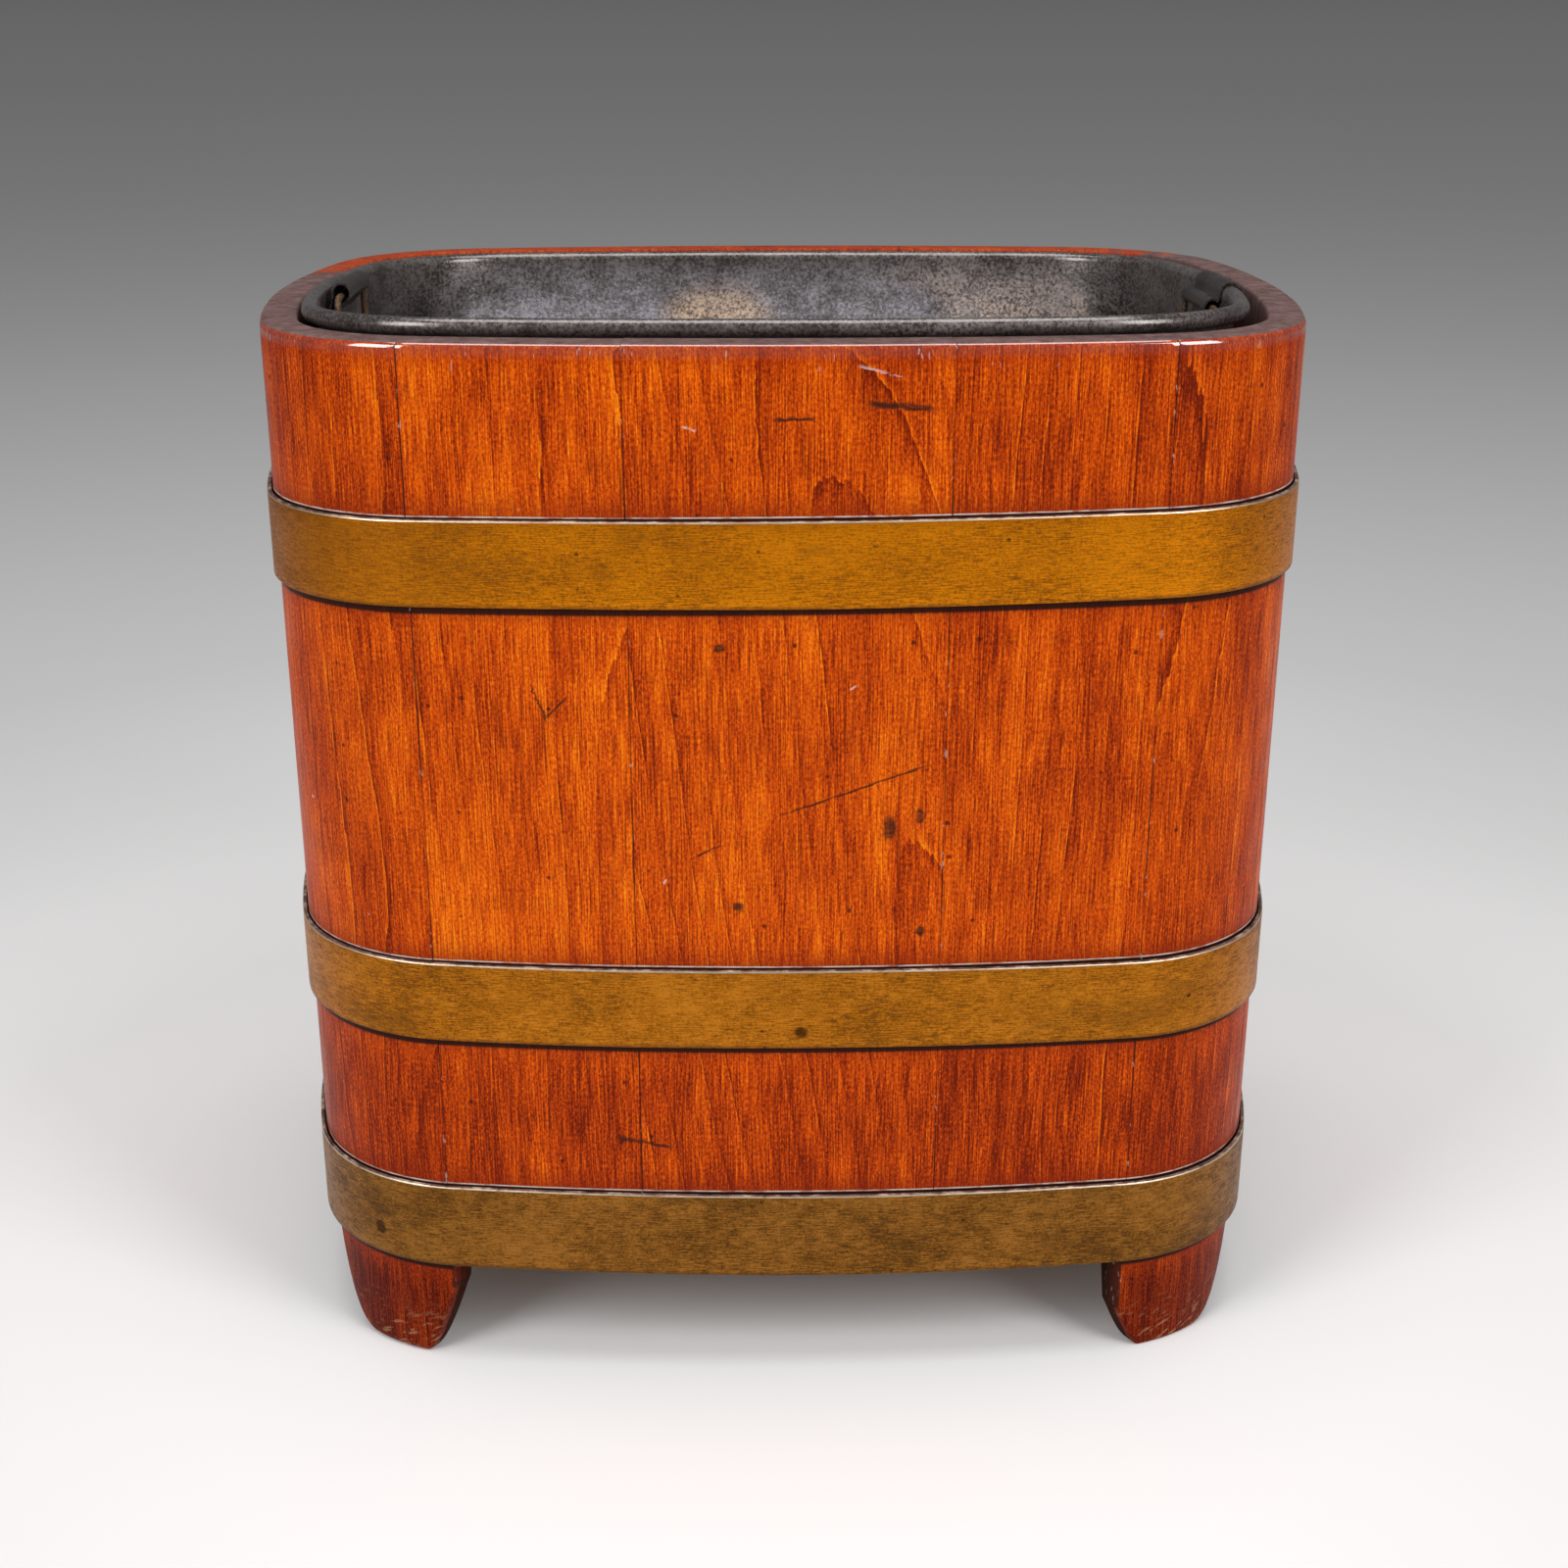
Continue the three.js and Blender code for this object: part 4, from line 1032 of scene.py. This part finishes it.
def left_strap():
    radius = LEFT_LOOP_RADIUS - STRAP_SHEET / 2
    crown = LINER_HEIGHT + LEFT_LOOP_CROWN
    centre = (LEFT_LOOP_STANDOFF + LEFT_LOOP_RADIUS, crown - LEFT_LOOP_RADIUS)
    side_bottom = centre[1] - LEFT_LOOP_SIDE
    slope_bottom = side_bottom - STRAP_SLOPE
    outer_ply = SEAT_GAP + STRAP_SHEET / 2
    inner_ply = outer_ply + STRAP_SHEET + SEAT_GAP
    path = np.concatenate([
        [(outer_ply, slope_bottom - STRAP_TAIL)],
        [(outer_ply, slope_bottom)],
        [(centre[0] - radius, side_bottom)],
        arc(centre, radius, math.pi, 0, 16),
        [(centre[0] + radius, side_bottom)],
        [(inner_ply, slope_bottom)],
        [(inner_ply, slope_bottom - STRAP_TAIL)],
    ])
    pivot = (centre[0], centre[1] - LEFT_LOOP_SIDE)
    return path, pivot, slope_bottom - STRAP_TAIL / 2, inner_ply + STRAP_SHEET / 2 + LINER_SHEET


def right_strap():
    radius = RIGHT_LOOP_RADIUS - STRAP_SHEET / 2
    ply = SEAT_GAP + STRAP_SHEET / 2
    hook = RIM_CURL_RADIUS + SEAT_GAP + STRAP_SHEET / 2
    centre = (SEAT_GAP + RIGHT_LOOP_RADIUS, LINER_HEIGHT + RIGHT_LOOP_CROWN - RIGHT_LOOP_RADIUS)
    flare = radius + STRAP_SHEET
    saddle_end = RIGHT_SADDLE_TURN / 2
    path = np.concatenate([
        arc((-RIM_CURL_RADIUS, LINER_HEIGHT), hook, RIGHT_HOOK_TURN, 0, 16),
        [(ply, centre[1] + flare)],
        arc(centre, radius, saddle_end, -saddle_end, 16),
        [(ply, centre[1] - flare)],
        [(ply, centre[1] - flare - STRAP_SLOPE - STRAP_TAIL)],
    ])
    pivot = (centre[0], centre[1] - (RIGHT_LOOP_RADIUS - STRAP_SHEET - WIRE_RADIUS - SEAT_GAP))
    rivet_height = centre[1] - flare - STRAP_SLOPE - STRAP_TAIL / 2
    return path, pivot, rivet_height, ply + STRAP_SHEET / 2 + LINER_SHEET


def handle_path():
    """A rounded trapezium in its own plane: y along the hinge, z up, hung from the origin."""
    top, grip = HANDLE_TOP_WIDTH / 2, HANDLE_GRIP_WIDTH / 2
    corners = [
        ((-top, 0), HANDLE_TOP_BEND),
        ((top, 0), HANDLE_TOP_BEND),
        ((grip, -HANDLE_DROP), HANDLE_GRIP_BEND),
        ((-grip, -HANDLE_DROP), HANDLE_GRIP_BEND),
    ]
    path = []
    for i, (at, bend) in enumerate(corners):
        at = np.array(at)
        before = units(np.array(corners[i - 1][0]) - at)
        after = units(np.array(corners[(i + 1) % 4][0]) - at)
        half = math.acos(before @ after) / 2
        centre = at + units(before + after) * bend / math.sin(half)
        first = at + before * bend / math.tan(half) - centre
        start = math.atan2(first[1], first[0])
        if path:
            path.extend(line(path[-1], centre + first, 8).tolist())
        path.extend(arc(centre, bend, start, start - (math.pi - 2 * half), 9).tolist())
    path.extend(line(path[-1], path[0], 8).tolist())
    return np.array(path)


def add_handle(side, iron, wire):
    sign = -1 if side == "left" else 1
    middle = (3 if side == "left" else 1) * liner_plan.length / 4
    path, pivot, rivet_height, grip = left_strap() if side == "left" else right_strap()
    outline = bent_sheet(path, STRAP_SHEET)
    stations = middle + np.linspace(-STRAP_LENGTH / 2, STRAP_LENGTH / 2, 25)[:, None]
    strap = liner_point(stations, -LINER_SHEET - outline[:, 0], outline[:, 1])
    add_piece(f"{side}_handle_strap", "liner", "liner_iron", iron, strap, sheet=strap * 0 + (0, 0, 1))

    for i, end in enumerate((-1, 1)):
        station = middle + end * STRAP_RIVET_SPACING / 2
        foot = liner_point(station, 0.0, rivet_height)
        inward = liner_point(station, -STRAP_LENGTH, rivet_height) - foot
        tail = [
            (STRAP_RIVET_TAIL_RADIUS, -SEAT_GAP - STRAP_RIVET_TAIL),
            (STRAP_RIVET_TAIL_RADIUS, -SEAT_GAP),
            (STRAP_RIVET_SHANK, -SEAT_GAP),
        ]
        profile = dome_profile(tail, grip + SEAT_GAP, STRAP_RIVET_SHANK, STRAP_RIVET_HEAD, STRAP_RIVET_DOME)
        rivet = lathe(profile, foot, inward)
        fitting = rivet * 0 + (0, 0, 1)
        add_piece(f"{side}_strap_rivet_{i + 1}", "liner", "liner_iron", iron, rivet, sheet=fitting)

    bow = STRAP_LENGTH ** 2 / (8 * LINER_END_RADIUS)
    hinge = Vector(liner_point(middle, -LINER_SHEET - pivot[0] - bow / 2, pivot[1]))
    wall_slope = (LINER_WIDTH - LINER_BASE_WIDTH) / 2 / LINER_HEIGHT
    wall_at_grip = HANDLE_GRIP_WIDTH ** 2 / (8 * LINER_END_RADIUS) + HANDLE_DROP * wall_slope
    held_off = wall_at_grip + WIRE_RADIUS + 2 * SEAT_GAP - pivot[0] - bow / 2
    hang = math.asin(max(held_off, 0) / HANDLE_DROP) * sign
    lean = math.atan(LINER_RIM_SLOPE * pivot[1] / LINER_HEIGHT)
    turn = Euler((-lean, hang, 0)).to_matrix()
    ring = handle_path()
    tangents = units(np.roll(ring, -1, axis=0) - np.roll(ring, 1, axis=0))
    rows = []
    for (y, z), (ty, tz) in zip(ring, tangents):
        row = []
        for k in range(WIRE_SIDES):
            angle = 2 * math.pi * k / WIRE_SIDES
            out = WIRE_RADIUS * math.cos(angle)
            local = Vector((WIRE_RADIUS * math.sin(angle), y - tz * out, z + ty * out))
            row.append(tuple(hinge + turn @ local))
        rows.append(row)
    add_piece(f"{side}_handle", f"{side}_handle", "handle_wire", wire, rows, ring=True)


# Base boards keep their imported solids, with eased edges

def dress_base_boards():
    material = board_wood()
    for place in ("front", "middle", "back"):
        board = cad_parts[f"base_board_{place}"]
        board.data.materials.clear()
        board.data.materials.append(material)
        ease = board.modifiers.new("eased_edges", "BEVEL")
        ease.width = BOARD_EASE
        ease.segments = 2
        ease.limit_method = "ANGLE"
        ease.angle_limit = math.radians(50)


# Studio

# The floor's tone at distances in metres from the object's middle: painted light and shade, brightest near
# the object and greying with distance
FLOOR_TONES = [
    (0.2, 0.98), (0.28, 0.92), (0.36, 0.85), (0.5, 0.86), (0.9, 0.71), (2.2, 0.68), (3.2, 0.63), (5.0, 0.56),
    (10.0, 0.49), (40, 0.42),
]


def add_camera():
    data = bpy.data.cameras.new("camera")
    data.lens = CAMERA_LENS
    data.clip_end = 200
    camera = add_object("camera", data)
    camera.location = CAMERA_PLACE
    camera.rotation_euler = CAMERA_LOOK.to_track_quat("-Z", "Y").to_euler()
    bpy.context.scene.camera = camera


def add_lamp(name, place, target, size, power):
    data = bpy.data.lights.new(name, "AREA")
    data.shape = "RECTANGLE"
    data.size, data.size_y = size
    data.energy = power
    lamp = add_object(name, data)
    lamp.location = place
    lamp.rotation_euler = (Vector(target) - Vector(place)).to_track_quat("-Z", "Y").to_euler()


def add_floor():
    """A pale floor that greys with distance, as the photograph's backdrop does."""
    paint = Paint("floor")
    away = paint.place().length().math("LOGARITHM", 10)
    nearest, farthest = math.log10(FLOOR_TONES[0][0]), math.log10(FLOOR_TONES[-1][0])
    share = (away - nearest) * (1 / (farthest - nearest))
    stops = [((math.log10(far) - nearest) / (farthest - nearest), (tone,) * 3) for far, tone in FLOOR_TONES]
    # The floor's grading with distance is painted light and shade
    paint.set(base_color=share.ramp(*stops), roughness=0.9, specular=0.1)
    size = 60.0
    mesh = bpy.data.meshes.new("floor")
    corners = [(-size, -size, 0), (size, -size, 0), (size, size, 0), (-size, size, 0)]
    mesh.from_pydata(corners, [], [(0, 1, 2, 3)])
    mesh.materials.append(paint.material)
    add_object("floor", mesh)


def add_world():
    world = bpy.data.worlds.new("studio")
    bpy.context.scene.world = world
    world.use_nodes = True
    nodes, links = world.node_tree.nodes, world.node_tree.links
    background = nodes["Background"]
    seen = nodes.new("ShaderNodeMix")
    seen.data_type = "RGBA"
    path = nodes.new("ShaderNodeLightPath")
    share = path.outputs["Is Camera Ray"]
    for kind in ("Is Glossy Ray", "Is Transmission Ray"):
        either = nodes.new("ShaderNodeMath")
        either.operation = "MAXIMUM"
        links.new(share, either.inputs[0])
        links.new(path.outputs[kind], either.inputs[1])
        share = either.outputs[0]
    links.new(share, seen.inputs[0])
    seen.inputs[6].default_value = (0.3, 0.3, 0.3, 1)
    seen.inputs[7].default_value = (0.13, 0.13, 0.13, 1)
    links.new(seen.outputs[2], background.inputs["Color"])


add_camera()
add_staves()
for hoop, palette in {
    "upper": ((0.84, 0.27, 0.006), (0.53, 0.165, 0.004), (0.25, 0.082, 0.008), 0.8, 0.15),
    "middle": ((0.57, 0.205, 0.016), (0.37, 0.121, 0.006), (0.19, 0.07, 0.01), 0.0, 0.3),
    "lower": ((0.34, 0.145, 0.026), (0.2, 0.08, 0.011), (0.1, 0.045, 0.012), 0.2, 0.5),
}.items():
    add_hoop(hoop, hoop_brass(f"aged_brass_{hoop}", *palette))
add_liner()
dress_base_boards()

middle = (0, 0, CASING_HEIGHT / 2)
add_lamp("left_softbox", (-1.25, -1.25, 1.15), middle, (0.8, 1.2), 17)
add_lamp("right_softbox", (1.25, -1.25, 1.15), middle, (0.8, 1.2), 17)
add_lamp("top_softbox", (0, -0.1, 2.0), middle, (1.4, 1.2), 17)
add_floor()
add_world()
bpy.context.scene.view_settings.view_transform = "Standard"
